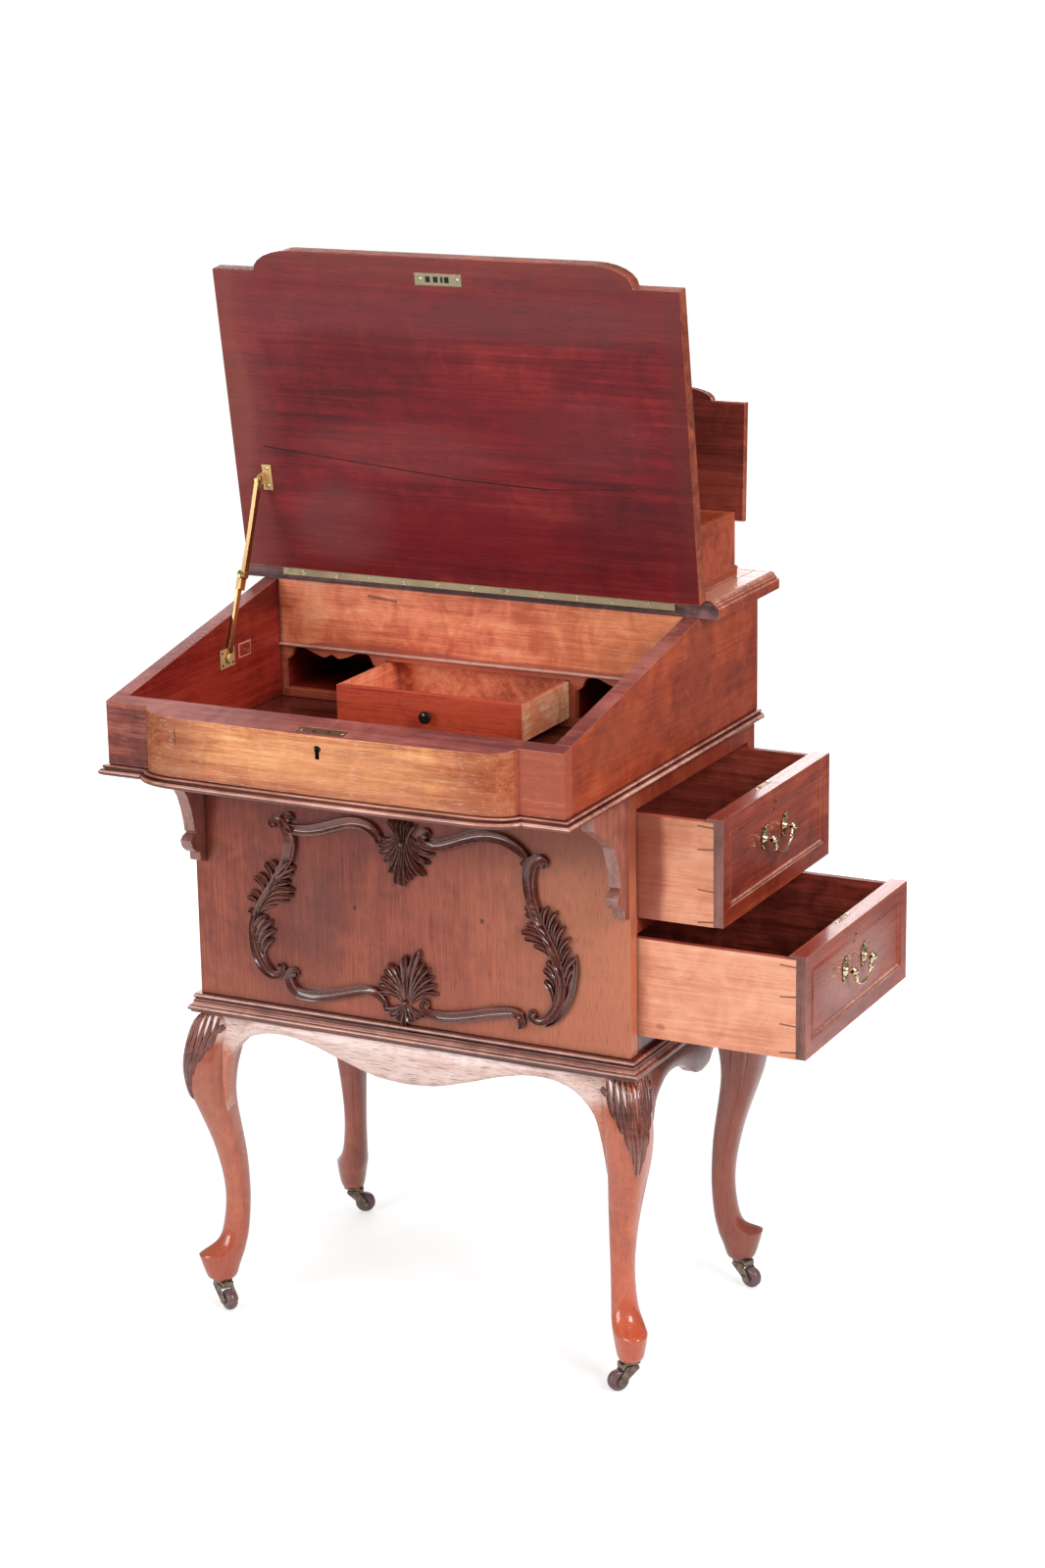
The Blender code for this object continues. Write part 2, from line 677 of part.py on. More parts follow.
def well_fittings():
    half = INNER_HALF - SEAT_GAP
    top = SHELF_BOTTOM - SEAT_GAP
    fret = board("well_board", MAHOGANY, (-half, WELL_FRONT, CARCASS_BOTTOM), (half, WELL_BACK, top))
    start = WELL_FRONT - OVERRUN
    end = WELL_BACK + OVERRUN
    drawer_top = WELL_FLOOR + INNER_OPENING_HEIGHT
    window = block((-INNER_OPENING_HALF, start, WELL_FLOOR), (INNER_OPENING_HALF, end, drawer_top))
    boolean(fret, "DIFFERENCE", add("drawer_window", window, MAHOGANY))
    valance_shares = [(0, 1), (0.07, 0.66), (0.11, 0.12), (0.2, 0), (0.33, 0.34), (0.43, 0.52), (0.5, 0.28)]
    valance_shares += [(1 - x, drop) for x, drop in reversed(valance_shares[:-1])]
    near = INNER_OPENING_HALF + PARTITION_THICKNESS
    far = half - PIGEONHOLE_MARGIN
    arch = smooth_path([(x, 0, drop) for x, drop in valance_shares], 2)
    crown = WELL_FLOOR + PIGEONHOLE_HEIGHT
    opening = [(near + (far - near) * p.x, crown - VALANCE_DROP * p.z) for p in arch]
    opening += [(far, WELL_FLOOR), (near, WELL_FLOOR)]
    for side, name in ((1, "right_window"), (-1, "left_window")):
        outline = [(x * side, z) for x, z in opening]
        boolean(fret, "DIFFERENCE", add(name, prism(outline, "Y", start, end), MAHOGANY))

    bead_z = CARCASS_BOTTOM + BEAD_RISE
    radius = BEAD_HEIGHT / 2
    bead = []
    steps = 6
    for i in range(steps + 1):
        t = math.pi / 2 + math.pi * i / steps
        bead.append((WELL_FRONT - SEAT_GAP + BEAD_REACH * math.cos(t), bead_z + radius * math.sin(t)))
    add("well_bead", prism(bead, "X", -half, half), DARK_MAHOGANY)

    inner = INNER_OPENING_HALF
    outer = near
    floor_low = CARCASS_BOTTOM
    floor_top = WELL_FLOOR - SEAT_GAP
    wall_top = drawer_top + PARTITION_THICKNESS
    profile = [
        (-half, floor_low),
        (half, floor_low),
        (half, floor_top),
        (outer, floor_top),
        (outer, wall_top),
        (inner, wall_top),
        (inner, floor_top),
        (-inner, floor_top),
        (-inner, wall_top),
        (-outer, wall_top),
        (-outer, floor_top),
        (-half, floor_top),
    ]
    back = CARCASS_DEPTH - BACK_THICKNESS - SEAT_GAP
    add("pigeonhole_case", prism(profile, "Y", WELL_BACK + SEAT_GAP, back), MAHOGANY)
    inner_drawer()


def inner_drawer():
    front = WELL_FRONT - INNER_DRAWER_OUT
    half = INNER_OPENING_HALF - REVEAL
    low = WELL_FLOOR + SLIDE_GAP
    high = WELL_FLOOR + INNER_OPENING_HEIGHT - REVEAL
    slide = pivot("inner_drawer_slide", (0, front, low))
    length = INNER_DRAWER_LENGTH
    height = high - low
    body = add("inner_drawer", block((-half, 0, 0), (half, length, height)), DRAWER_PINE, parent=slide)
    wall = INNER_WALL
    cavity_low = (-half + wall, INNER_FRONT_THICKNESS, wall)
    cavity = block(cavity_low, (half - wall, length - wall, height + OVERRUN))
    boolean(body, "DIFFERENCE", add("inner_cavity", cavity, DRAWER_PINE))
    r = KNOB_RADIUS
    reach = -SEAT_GAP
    profile_shares = [(0.45, 0), (0.42, 0.35), (0.85, 0.5), (1.0, 0.68), (0.9, 0.86), (0.5, 1.0)]
    profile = [(r * radius_share, reach - KNOB_LENGTH * share) for radius_share, share in profile_shares]
    knob = turned(profile, "Y", 16)
    place = (0, 0, height / 2 - KNOB_DROP)
    add("inner_drawer_knob", knob, EBONY, place, slide, smooth=True)


def box_outline(offset):
    return breakfront(
        BOX_HALF_WIDTH, BOX_FRONT, BREAK_HALF_WIDTH, BOX_BREAK_QUARTER, BOX_BREAK_REACH, 0, offset
    )


def box_ring(offset, back_offset, z):
    half = BOX_HALF_WIDTH + offset
    back = BOX_BACK + back_offset
    outline = box_outline(offset) + [(half, back), (-half, back)]
    return [(x, y, z) for x, y in outline]


def stationery_box():
    bottom = SHELF_TOP + SEAT_GAP
    bead_low = bottom + BOX_BEAD_BOTTOM
    bead_high = bottom + BOX_BEAD_TOP
    bead_middle = (bead_low + bead_high) / 2
    plinth = BOX_PLINTH_REACH
    bead_reach = BOX_BEAD_REACH
    inside = -BOX_WALL
    rings = [
        box_ring(plinth, plinth, bottom),
        box_ring(plinth, plinth, bead_low),
        box_ring(bead_reach, bead_reach, bead_middle),
        box_ring(plinth / 2, plinth / 2, bead_high),
        box_ring(0, 0, bead_high + plinth / 2),
        box_ring(0, 0, BOX_TOP),
        box_ring(inside, inside, BOX_TOP),
        box_ring(inside, inside, bottom + BOX_FLOOR),
    ]
    add("stationery_case", loft(rings), MAHOGANY, smooth=True)

    turn = -math.radians(BOX_LID_OPEN_ANGLE)
    axis_y = BOX_BACK + BOX_LID_AXIS_BEHIND
    axis = (0, axis_y, BOX_TOP + BOX_LID_RISE)
    hinge = pivot("stationery_lid_axis", axis, (turn, 0, 0))
    edge_shares = [(0.88, 0.0), (1.0, 0.2), (1.0, 0.72), (0.93, 0.93), (0.82, 1.0)]
    lid_rings = []
    for reach_share, height_share in edge_shares:
        offset = BOX_LID_OVERHANG * reach_share
        z = BOX_TOP + BOX_LID_THICKNESS * height_share
        ring = box_ring(offset, BOX_LID_BACK_OVERHANG * reach_share, z)
        lid_rings.append([(x, y - axis_y, z - BOX_TOP) for x, y, z in ring])
    add("stationery_lid", loft(lid_rings), MAHOGANY, parent=hinge, smooth=True)


def pedestal():
    half = PEDESTAL_HALF
    front = PEDESTAL_FRONT
    g = SEAT_GAP
    low = PEDESTAL_BOTTOM
    top = PEDESTAL_TOP
    board("pedestal_front", MAHOGANY, (-half, front, low), (half, DRAWER_FRONT_Y, top))
    board("pedestal_back", MAHOGANY, (-half, DRAWER_BACK_Y, low), (half, CARCASS_DEPTH, top))
    near = DRAWER_FRONT_Y + g
    far = DRAWER_BACK_Y - g
    board("pedestal_left", MAHOGANY, (-half, near, low), (DRAWER_LEFT, far, top))
    inner = DRAWER_LEFT + g
    board("pedestal_top", MAHOGANY, (inner, near, UPPER_CEILING), (half, far, top))
    board("pedestal_divider", MAHOGANY, (inner, near, LOWER_CEILING), (half, far, UPPER_FLOOR))

    moulding_shares = [(0.16, 0.0), (0.0, 0.28), (0.0, 0.44), (0.2, 0.62), (0.42, 0.7), (0.46, 0.9), (0.95, 1.0)]
    rings = []
    for inset_share, height_share in moulding_shares:
        side = BASE_HALF - BASE_OVERHANG * inset_share
        lip = BASE_FRONT + BASE_FRONT_REACH * inset_share
        z = BASE_BOTTOM + BASE_THICKNESS * height_share
        rings.append(three_sided(side, lip, CARCASS_DEPTH, z))
    base = add("pedestal_base", loft(rings), MAHOGANY)
    raised = block((inner, near, BASE_BOTTOM + OVERRUN), (half, far, LOWER_FLOOR))
    boolean(base, "UNION", add("base_rise", raised, MAHOGANY))


def drawer(name, low, high, out):
    front_low = low + REVEAL
    front_high = high - REVEAL
    near = DRAWER_FRONT_Y + REVEAL
    far = DRAWER_BACK_Y - REVEAL
    slide = pivot(name + "_slide", (PEDESTAL_HALF + out, 0, 0))
    thick = DRAWER_FRONT_THICKNESS

    def panel(x, inset):
        return [
            (x, near + inset, front_low + inset),
            (x, far - inset, front_low + inset),
            (x, far - inset, front_high - inset),
            (x, near + inset, front_high - inset),
        ]

    rings = [
        panel(-thick, 0),
        panel(0, 0),
        panel(0, PANEL_FRAME),
        panel(-PANEL_SINK, PANEL_FRAME + PANEL_BEVEL),
    ]
    face = add(name + "_front", loft(rings), MAHOGANY, parent=slide)
    lap = -DRAWER_LAP
    side_top = front_high - DRAWER_SIDE_DROP
    wall_room = DRAWER_WALL + SEAT_GAP
    spans = ((near - OVERRUN, near + wall_room), (far - wall_room, far + OVERRUN))
    notches = bmesh.new()
    for start, end in spans:
        block((-thick - OVERRUN, start, front_low - OVERRUN), (lap, end, side_top + SEAT_GAP), notches)
    boolean(face, "DIFFERENCE", add(name + "_notches", notches, MAHOGANY))
    middle = (near + far) / 2 - LOCK_FORWARD
    hole_centre = (middle, front_high - KEYHOLE_DROP)
    hole = keyhole(name + "_keyhole", "X", hole_centre, -PANEL_SINK - KEYHOLE_DEPTH, KEYHOLE_DEPTH + OVERRUN)
    boolean(face, "DIFFERENCE", hole)

    box_low = low + SLIDE_GAP
    back = -DRAWER_LENGTH
    box = block((back, near + SEAT_GAP, box_low), (lap - SEAT_GAP, far - SEAT_GAP, side_top))
    lining = add(name + "_box", box, DRAWER_PINE, parent=slide)
    wall = DRAWER_WALL
    cavity_low = (back + wall, near + SEAT_GAP + wall, box_low + DRAWER_BOTTOM)
    cavity = block(cavity_low, (OVERRUN, far - SEAT_GAP - wall, side_top + OVERRUN))
    boolean(lining, "DIFFERENCE", add(name + "_cavity", cavity, DRAWER_PINE))
    thick_room = block(
        (-thick - SEAT_GAP, near + wall, box_low - OVERRUN),
        (OVERRUN, far - wall, side_top + OVERRUN),
    )
    boolean(lining, "DIFFERENCE", add(name + "_front_room", thick_room, DRAWER_PINE))

    handle_z = (front_low + front_high) / 2 + HANDLE_RISE
    handle(name, slide, Vector((-PANEL_SINK + SEAT_GAP, middle, handle_z)))


def handle(name, slide, centre):
    half = HANDLE_CENTRES / 2
    head = POST_HEAD_RADIUS
    reach = POST_REACH
    base_shares = [(0.86, 0.0), (1.0, 0.1), (0.8, 0.26)]
    neck_shares = [(1.0, 0.42), (1.0, 0.56)]
    head_shares = [(0.8, 0.72), (1.0, 1.0), (0.8, 1.28), (0.35, 1.48)]
    profile = []
    for radius, shares in (
        (POST_BASE_RADIUS, base_shares),
        (POST_NECK_RADIUS, neck_shares),
        (head, head_shares),
    ):
        profile += [(radius * wide, reach * along) for wide, along in shares]
    bore = BAIL_RADIUS + SEAT_GAP
    for letter, side in (("a", -1), ("b", 1)):
        place = centre + Vector((0, side * half, 0))
        post = add(f"{name}_post_{letter}", turned(profile, "X", 14), BRASS, place, slide, smooth=True)
        hole = turned([(bore, -head * 2), (bore, head * 2)], "Y", 10, place + Vector((reach, 0, 0)))
        boolean(post, "DIFFERENCE", add(f"{name}_bore_{letter}", hole, BRASS))

    swing = pivot(name + "_bail_axis", centre + Vector((reach, 0, 0)), parent=slide)
    drop = BAIL_DROP
    inner = half - head - SEAT_GAP
    left_shares = [(0.86, 0.02), (0.9, 0.22), (0.98, 0.46), (0.84, 0.74), (0.5, 0.9), (0.22, 1.0), (0.0, 0.96)]
    points = [Vector((0, -half, 0)), Vector((0, -inner - BAIL_RADIUS / 2, 0))]
    for across, fall in left_shares:
        points.append(Vector((0, -inner * across, -drop * fall)))
    points += [Vector((0, -p.y, p.z)) for p in reversed(points[:-1])]
    path = smooth_path(points, 2)
    swell_share = 0.5
    swell_reach_share = 0.2
    radii = []
    for p in path:
        swell = swell_share * math.exp(-((p.y / (half * swell_reach_share)) ** 2))
        radii.append(BAIL_RADIUS * (1 + swell))
    bail = sweep(path, radii, radii, Vector((1, 0, 0)), 8)
    add(name + "_bail", bail, BRASS, parent=swing, smooth=True)


def brackets():
    height = BRACKET_HEIGHT
    depth = PEDESTAL_FRONT - SEAT_GAP - BRACKET_FRONT
    side_shares = [
        (0.0, 1.0),
        (0.0, 0.86),
        (0.2, 0.79),
        (0.39, 0.72),
        (0.53, 0.66),
        (0.61, 0.59),
        (0.68, 0.48),
        (0.73, 0.37),
        (0.75, 0.29),
        (0.79, 0.27),
        (0.7, 0.255),
        (0.64, 0.22),
        (0.68, 0.16),
        (0.77, 0.115),
        (0.85, 0.1),
        (0.86, 0.03),
        (1.0, 0.0),
        (1.0, 1.0),
    ]
    bottom = PEDESTAL_TOP - height
    outline = [(BRACKET_FRONT + depth * y, bottom + height * z) for y, z in side_shares]
    for name, start in (
        ("bracket_left", -PEDESTAL_HALF),
        ("bracket_right", PEDESTAL_HALF - BRACKET_THICKNESS),
    ):
        add(name, prism(outline, "X", 0, BRACKET_THICKNESS), MAHOGANY, (start, 0, 0))


FRONT_APRON_SHARES = [
    (0.0, 0.71),
    (0.13, 0.68),
    (0.216, 0.62),
    (0.302, 0.53),
    (0.39, 0.43),
    (0.466, 0.34),
    (0.548, 0.265),
    (0.626, 0.205),
    (0.708, 0.185),
    (0.786, 0.215),
    (0.855, 0.28),
    (0.896, 0.363),
    (0.934, 0.49),
    (0.979, 0.655),
    (1.0, 0.8),
]
SIDE_APRON_SHARES = [
    (0.0, 0.7),
    (0.14, 0.67),
    (0.26, 0.46),
    (0.42, 0.34),
    (0.6, 0.28),
    (0.74, 0.33),
    (0.87, 0.5),
    (0.95, 0.72),
    (1.0, 1.0),
]


def apron_outline(half, shares):
    top = BASE_BOTTOM - SEAT_GAP
    curve = smooth_path([(x * half, 0, top - FRONT_APRON_DROP * drop) for x, drop in shares], 2)
    right = [(p.x, p.z) for p in curve]
    left = [(-x, z) for x, z in reversed(right[1:])]
    return left + right + [(half, top), (-half, top)]


def aprons():
    half = BASE_HALF - POST_INSET - SEAT_GAP
    thick = APRON_THICKNESS
    front = BASE_FRONT + APRON_INSET
    outline = apron_outline(half, FRONT_APRON_SHARES)
    add("apron_front", prism(outline, "Y", 0, thick), MAHOGANY, (0, front, 0))
    back = CARCASS_DEPTH - APRON_INSET - thick
    add("apron_back", prism(outline, "Y", 0, thick), MAHOGANY, (0, back, 0))
    middle = (BASE_FRONT + CARCASS_DEPTH) / 2
    side_half = (CARCASS_DEPTH - BASE_FRONT) / 2 - POST_INSET - SEAT_GAP
    outline = apron_outline(side_half, SIDE_APRON_SHARES)
    edge = BASE_HALF - APRON_INSET
    for name, start in (("apron_left", -edge), ("apron_right", edge - thick)):
        add(name, prism(outline, "X", 0, thick), MAHOGANY, (start, middle, 0))


# Height, outer edge, inner edge, width across, and squareness of the leg
LEG_SHARES = [
    (0.0, -0.15, -0.6, 0.38, 2.0),
    (0.027, -0.1, -0.65, 0.44, 2.0),
    (0.062, -0.045, -0.7, 0.5, 1.9),
    (0.1, 0.01, -0.78, 0.54, 1.8),
    (0.125, -0.17, -0.8, 0.52, 1.8),
    (0.148, -0.29, -0.83, 0.47, 1.8),
    (0.188, -0.42, -0.86, 0.42, 1.8),
    (0.29, -0.49, -0.905, 0.39, 1.7),
    (0.38, -0.457, -0.895, 0.43, 1.6),
    (0.46, -0.375, -0.877, 0.49, 1.5),
    (0.535, -0.28, -0.83, 0.56, 1.45),
    (0.65, -0.065, -0.75, 0.67, 1.4),
    (0.71, 0.05, -0.745, 0.75, 1.35),
    (0.785, 0.114, -0.79, 0.81, 1.3),
    (0.833, 0.113, -0.86, 0.82, 1.25),
    (0.917, 0.04, -0.98, 0.83, 1.15),
    (1.0, -0.13, -1.0, 0.83, 1.08),
]
LEG_SIDES = 12


def leg_mesh():
    rings = []
    for height, outer, inner, across, square in LEG_SHARES:
        middle = POST_DIAGONAL * (outer + inner) / 2
        reach = POST_DIAGONAL * (outer - inner) / 2
        width = POST_DIAGONAL * across / 2
        ring = []
        for i in range(LEG_SIDES):
            t = math.tau * i / LEG_SIDES
            c = math.cos(t)
            s = math.sin(t)
            u = middle + reach * math.copysign(abs(c) ** (2 / square), c)
            v = width * math.copysign(abs(s) ** (2 / square), s)
            ring.append((u, v, LEG_HEIGHT * height))
        rings.append(ring)
    return loft(rings)


def legs_and_casters():
    share = LEG_SHARES[0]
    foot = POST_DIAGONAL * (share[1] + share[2]) / 2
    leg = None
    fork = None
    wheel = None
    for name, side, y, turn in (
        ("front_left", -1, BASE_FRONT, 225),
        ("front_right", 1, BASE_FRONT, 315),
        ("back_left", -1, CARCASS_DEPTH, 135),
        ("back_right", 1, CARCASS_DEPTH, 45),
    ):
        angle = math.radians(turn)
        corner = Vector((side * BASE_HALF, y, 0))
        if leg is None:
            made = add("leg_" + name, leg_mesh(), MAHOGANY, smooth=True)
            leg = made.data
        else:
            made = put("leg_" + name, leg, (0, 0, 0))
        made.location = corner + Vector((0, 0, CASTER_HEIGHT + SEAT_GAP))
        made.rotation_euler = (0, 0, angle)
        centre = corner + Vector((math.cos(angle), math.sin(angle), 0)) * foot
        swivel = pivot("swivel_" + name, centre, (0, 0, math.radians(CASTER_TURNS[name])))
        fork = fork or fork_parts()
        body = put("caster_" + name, fork[0], (0, 0, 0), swivel)
        boolean(body, "UNION", put("fork_guide_" + name, fork[1], (0, 0, 0)), own=True)
        wheel = wheel or wheel_mesh()
        put("wheel_" + name, wheel, (CASTER_TRAIL, 0, WHEEL_RADIUS), swivel)


def mesh_of(bm, name, material, smooth):
    made = add(name, bm, material, smooth=smooth)
    mesh = made.data
    bpy.data.objects.remove(made)
    return mesh


def fork_parts():
    bridge_top = CASTER_HEIGHT - FLANGE_HEIGHT - BRIDGE_HEIGHT / 2
    bridge_low = bridge_top - BRIDGE_HEIGHT
    inner = WHEEL_WIDTH / 2 + CHEEK_GAP
    outer = inner + CHEEK_THICKNESS
    half = BRIDGE_HALF_LENGTH
    cheek = [(-half, bridge_top), (-half, bridge_low)]
    steps = 8
    for i in range(steps + 1):
        t = math.radians(220 + 200 * i / steps)
        x = CASTER_TRAIL + CHEEK_END_RADIUS * math.cos(t)
        cheek.append((x, WHEEL_RADIUS + CHEEK_END_RADIUS * math.sin(t)))
    cheek.append((half, bridge_top))
    bm = bmesh.new()
    for start, end in ((-outer, -inner), (inner, outer)):
        prism(cheek, "Y", start, end, bm)
    pin_end = inner + CHEEK_THICKNESS / 2
    axle = [(AXLE_RADIUS, -pin_end), (AXLE_RADIUS, pin_end)]
    turned(axle, "Y", 10, (CASTER_TRAIL, 0, WHEEL_RADIUS), bm)
    edge = outer - CHEEK_THICKNESS / 2
    back_share = 0.9
    front_share = 0.8
    sink_share = 0.1
    sink = BRIDGE_HEIGHT * sink_share
    low = (-half * back_share, -edge, bridge_low + sink)
    block(low, (half * front_share, edge, bridge_top - sink), bm)
    body = mesh_of(bm, "caster_fork", DARK_BRASS, False)
    flange_low = CASTER_HEIGHT - FLANGE_HEIGHT
    dish_share = 0.3
    profile = [
        (NECK_RADIUS, bridge_low + BRIDGE_HEIGHT / 2),
        (NECK_RADIUS, flange_low),
        (FLANGE_RADIUS, flange_low + FLANGE_HEIGHT * dish_share),
        (FLANGE_RADIUS, CASTER_HEIGHT),
    ]
    flange = mesh_of(turned(profile, "Z", 20), "caster_flange", DARK_BRASS, False)
    return body, flange


def wheel_mesh():
    bore = AXLE_RADIUS + SEAT_GAP
    half = WHEEL_WIDTH / 2
    rim = WHEEL_RADIUS
    crown_shares = [(0.42, 0.9), (0.72, 0.78), (0.9, 1.0), (0.985, 0.55), (1.0, 0)]
    hub = half * crown_shares[0][1]
    section = [(bore, -hub), (bore, hub)]
    section += [(rim * r, half * w) for r, w in crown_shares]
    section += [(rim * r, -half * w) for r, w in reversed(crown_shares[:-1])]
    sides = 20
    rings = []
    for i in range(sides):
        t = math.tau * (i + 0.5) / sides
        rings.append([(r * math.sin(t), w, r * math.cos(t)) for r, w in section])
    return mesh_of(loft(rings, closed=True), "caster_wheel", DARK_BRASS, True)


# Ridge lines of the carving: across, up, width and height, as shares
SCROLL_SHARES = [
    (0.605, 0.715, 0.16, 0.5),
    (0.566, 0.69, 0.4, 0.85),
    (0.552, 0.626, 0.62, 1.0),
    (0.582, 0.536, 0.66, 1.0),
    (0.656, 0.442, 0.56, 0.9),
    (0.703, 0.349, 0.5, 0.85),
    (0.713, 0.255, 0.52, 0.85),
    (0.685, 0.162, 0.5, 0.85),
    (0.624, 0.112, 0.36, 0.8),
    (0.58, 0.135, 0.24, 0.6),
    (0.572, 0.175, 0.1, 0.4),
]
SCROLL_LEAF_SHARES = [
    (0.58, 0.54, 0.695, 0.575),
    (0.62, 0.48, 0.745, 0.49),
    (0.67, 0.4, 0.775, 0.4),
    (0.59, 0.56, 0.518, 0.55),
    (0.62, 0.5, 0.53, 0.46),
    (0.69, 0.36, 0.62, 0.32),
    (0.7, 0.27, 0.655, 0.26),
]
TOP_BAND_SHARES = [
    (0.52, 0.75, 0.12, 0.4),
    (0.512, 0.71, 0.34, 0.8),
    (0.45, 0.712, 0.36, 0.85),
    (0.36, 0.755, 0.34, 0.85),
    (0.26, 0.77, 0.32, 0.8),
    (0.17, 0.745, 0.3, 0.75),
    (0.07, 0.715, 0.22, 0.5),
]
BOTTOM_BAND_SHARES = [
    (0.55, 0.135, 0.12, 0.4),
    (0.51, 0.088, 0.3, 0.75),
    (0.42, 0.07, 0.34, 0.85),
    (0.33, 0.09, 0.32, 0.85),
    (0.22, 0.118, 0.3, 0.8),
    (0.14, 0.105, 0.28, 0.7),
    (0.06, 0.09, 0.24, 0.5),
]
TOP_SHELL_SHARES = [
    (0.0, 0.7, -0.13, 0.72),
    (0.0, 0.7, -0.105, 0.645),
    (0.0, 0.7, -0.055, 0.575),
    (0.0, 0.7, 0.005, 0.54),
    (0.0, 0.7, 0.07, 0.585),
    (0.0, 0.7, 0.12, 0.655),
    (0.0, 0.7, 0.14, 0.73),
    (0.0, 0.66, 0.0, 0.79),
]
BOTTOM_SHELL_SHARES = [
    (0.0, 0.1, -0.14, 0.15),
    (0.0, 0.1, -0.095, 0.235),
    (0.0, 0.1, -0.02, 0.275),
    (0.0, 0.1, 0.06, 0.3),
    (0.0, 0.1, 0.12, 0.22),
    (0.0, 0.1, 0.145, 0.13),
    (0.0, 0.14, 0.0, 0.03),
]
PETAL_SHARES = [(0.0, 0.3, 0.5), (0.35, 0.52, 0.9), (0.75, 0.4, 0.8), (1.0, 0.1, 0.4)]


def panel_point(across, up):
    return Vector((PEDESTAL_HALF * across, 0, PEDESTAL_HEIGHT * up))


def ridge(bm, shares, mirror):
    points = []
    widths = []
    heights = []
    for across, up, wide, high in smooth_four(shares, 2):
        points.append(panel_point(across * mirror, up))
        widths.append(CARVING_WIDTH * wide / 2)
        heights.append(CARVING_DEPTH * high)
    sweep(points, widths, heights, Vector((0, -1, 0)), 8, bm)


def smooth_four(shares, steps):
    places = smooth_path([(a, b, 0) for a, b, c, d in shares], steps)
    sizes = smooth_path([(c, d, 0) for a, b, c, d in shares], steps)
    return [(p.x, p.y, s.x, s.y) for p, s in zip(places, sizes)]


def petals(bm, shares, mirror):
    for root_x, root_z, tip_x, tip_z in shares:
        root = panel_point(root_x * mirror, root_z)
        tip = panel_point(tip_x * mirror, tip_z)
        points = [root.lerp(tip, along) for along, wide, high in PETAL_SHARES]
        widths = [CARVING_WIDTH * wide / 2 for along, wide, high in PETAL_SHARES]
        heights = [CARVING_DEPTH * high for along, wide, high in PETAL_SHARES]
        sweep(points, widths, heights, Vector((0, -1, 0)), 8, bm)


def carving(name, bm):
    relief = add(name, bm, MAHOGANY, (0, PEDESTAL_FRONT, PEDESTAL_BOTTOM), smooth=True)
    reach = PEDESTAL_HALF * 2
    low = Vector((-reach, PEDESTAL_FRONT - CARVING_DEPTH * 2, PEDESTAL_BOTTOM))
    high = Vector((reach, PEDESTAL_FRONT - SEAT_GAP, PEDESTAL_TOP))
    boolean(relief, "INTERSECT", add(name + "_ground", block(low, high), MAHOGANY), own=True)


def carvings():
    for name, mirror in (("carving_left", -1), ("carving_right", 1)):
        bm = bmesh.new()
        ridge(bm, SCROLL_SHARES, mirror)
        petals(bm, SCROLL_LEAF_SHARES, mirror)
        carving(name, bm)
    for name, band, shell in (
        ("carving_top", TOP_BAND_SHARES, TOP_SHELL_SHARES),
        ("carving_bottom", BOTTOM_BAND_SHARES, BOTTOM_SHELL_SHARES),
    ):
        bm = bmesh.new()
        for mirror in (-1, 1):
            ridge(bm, band, mirror)
        petals(bm, shell, 1)
        carving(name, bm)


carcass()
shelf()
shelf_leaf()
writing_lid()
stay_arms()
well_fittings()
stationery_box()
pedestal()
drawer("upper_drawer", UPPER_FLOOR, UPPER_CEILING, UPPER_DRAWER_OUT)
drawer("lower_drawer", LOWER_FLOOR, LOWER_CEILING, LOWER_DRAWER_OUT)
brackets()
aprons()
legs_and_casters()
carvings()
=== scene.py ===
import json
import math

import bmesh
import bpy
from mathutils import Matrix, Vector
from mathutils.bvhtree import BVHTree


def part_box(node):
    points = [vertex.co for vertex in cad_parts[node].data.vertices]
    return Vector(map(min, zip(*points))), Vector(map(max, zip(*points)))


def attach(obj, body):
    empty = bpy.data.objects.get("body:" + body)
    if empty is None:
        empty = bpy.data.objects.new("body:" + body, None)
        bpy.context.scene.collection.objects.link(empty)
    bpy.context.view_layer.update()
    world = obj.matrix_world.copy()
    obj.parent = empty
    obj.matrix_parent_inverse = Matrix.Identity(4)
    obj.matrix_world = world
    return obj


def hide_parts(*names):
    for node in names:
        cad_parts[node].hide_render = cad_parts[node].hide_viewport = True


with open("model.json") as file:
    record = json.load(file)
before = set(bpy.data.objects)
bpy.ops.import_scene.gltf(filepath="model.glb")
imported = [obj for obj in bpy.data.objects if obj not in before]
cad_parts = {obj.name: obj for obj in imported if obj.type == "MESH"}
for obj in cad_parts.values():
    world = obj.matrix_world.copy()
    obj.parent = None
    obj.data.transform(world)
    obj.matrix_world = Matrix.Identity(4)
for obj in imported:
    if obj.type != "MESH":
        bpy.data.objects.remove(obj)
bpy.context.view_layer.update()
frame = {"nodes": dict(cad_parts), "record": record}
bodyOf = {}
for body, members in frame["record"]["behaviour"]["bodies"].items():
    for member in members:
        bodyOf[member] = body
print("frame loaded:", len(bodyOf), "nodes")


# camera, floor and lamps

camera = {
    "place": (1.7506, -2.9854, 1.6803),
    "azimuth": 27.0313,
    "elevation": 15.7287,
    "roll": -0.9434,
    "lens": 78.66,
    "sensor": 36,
}

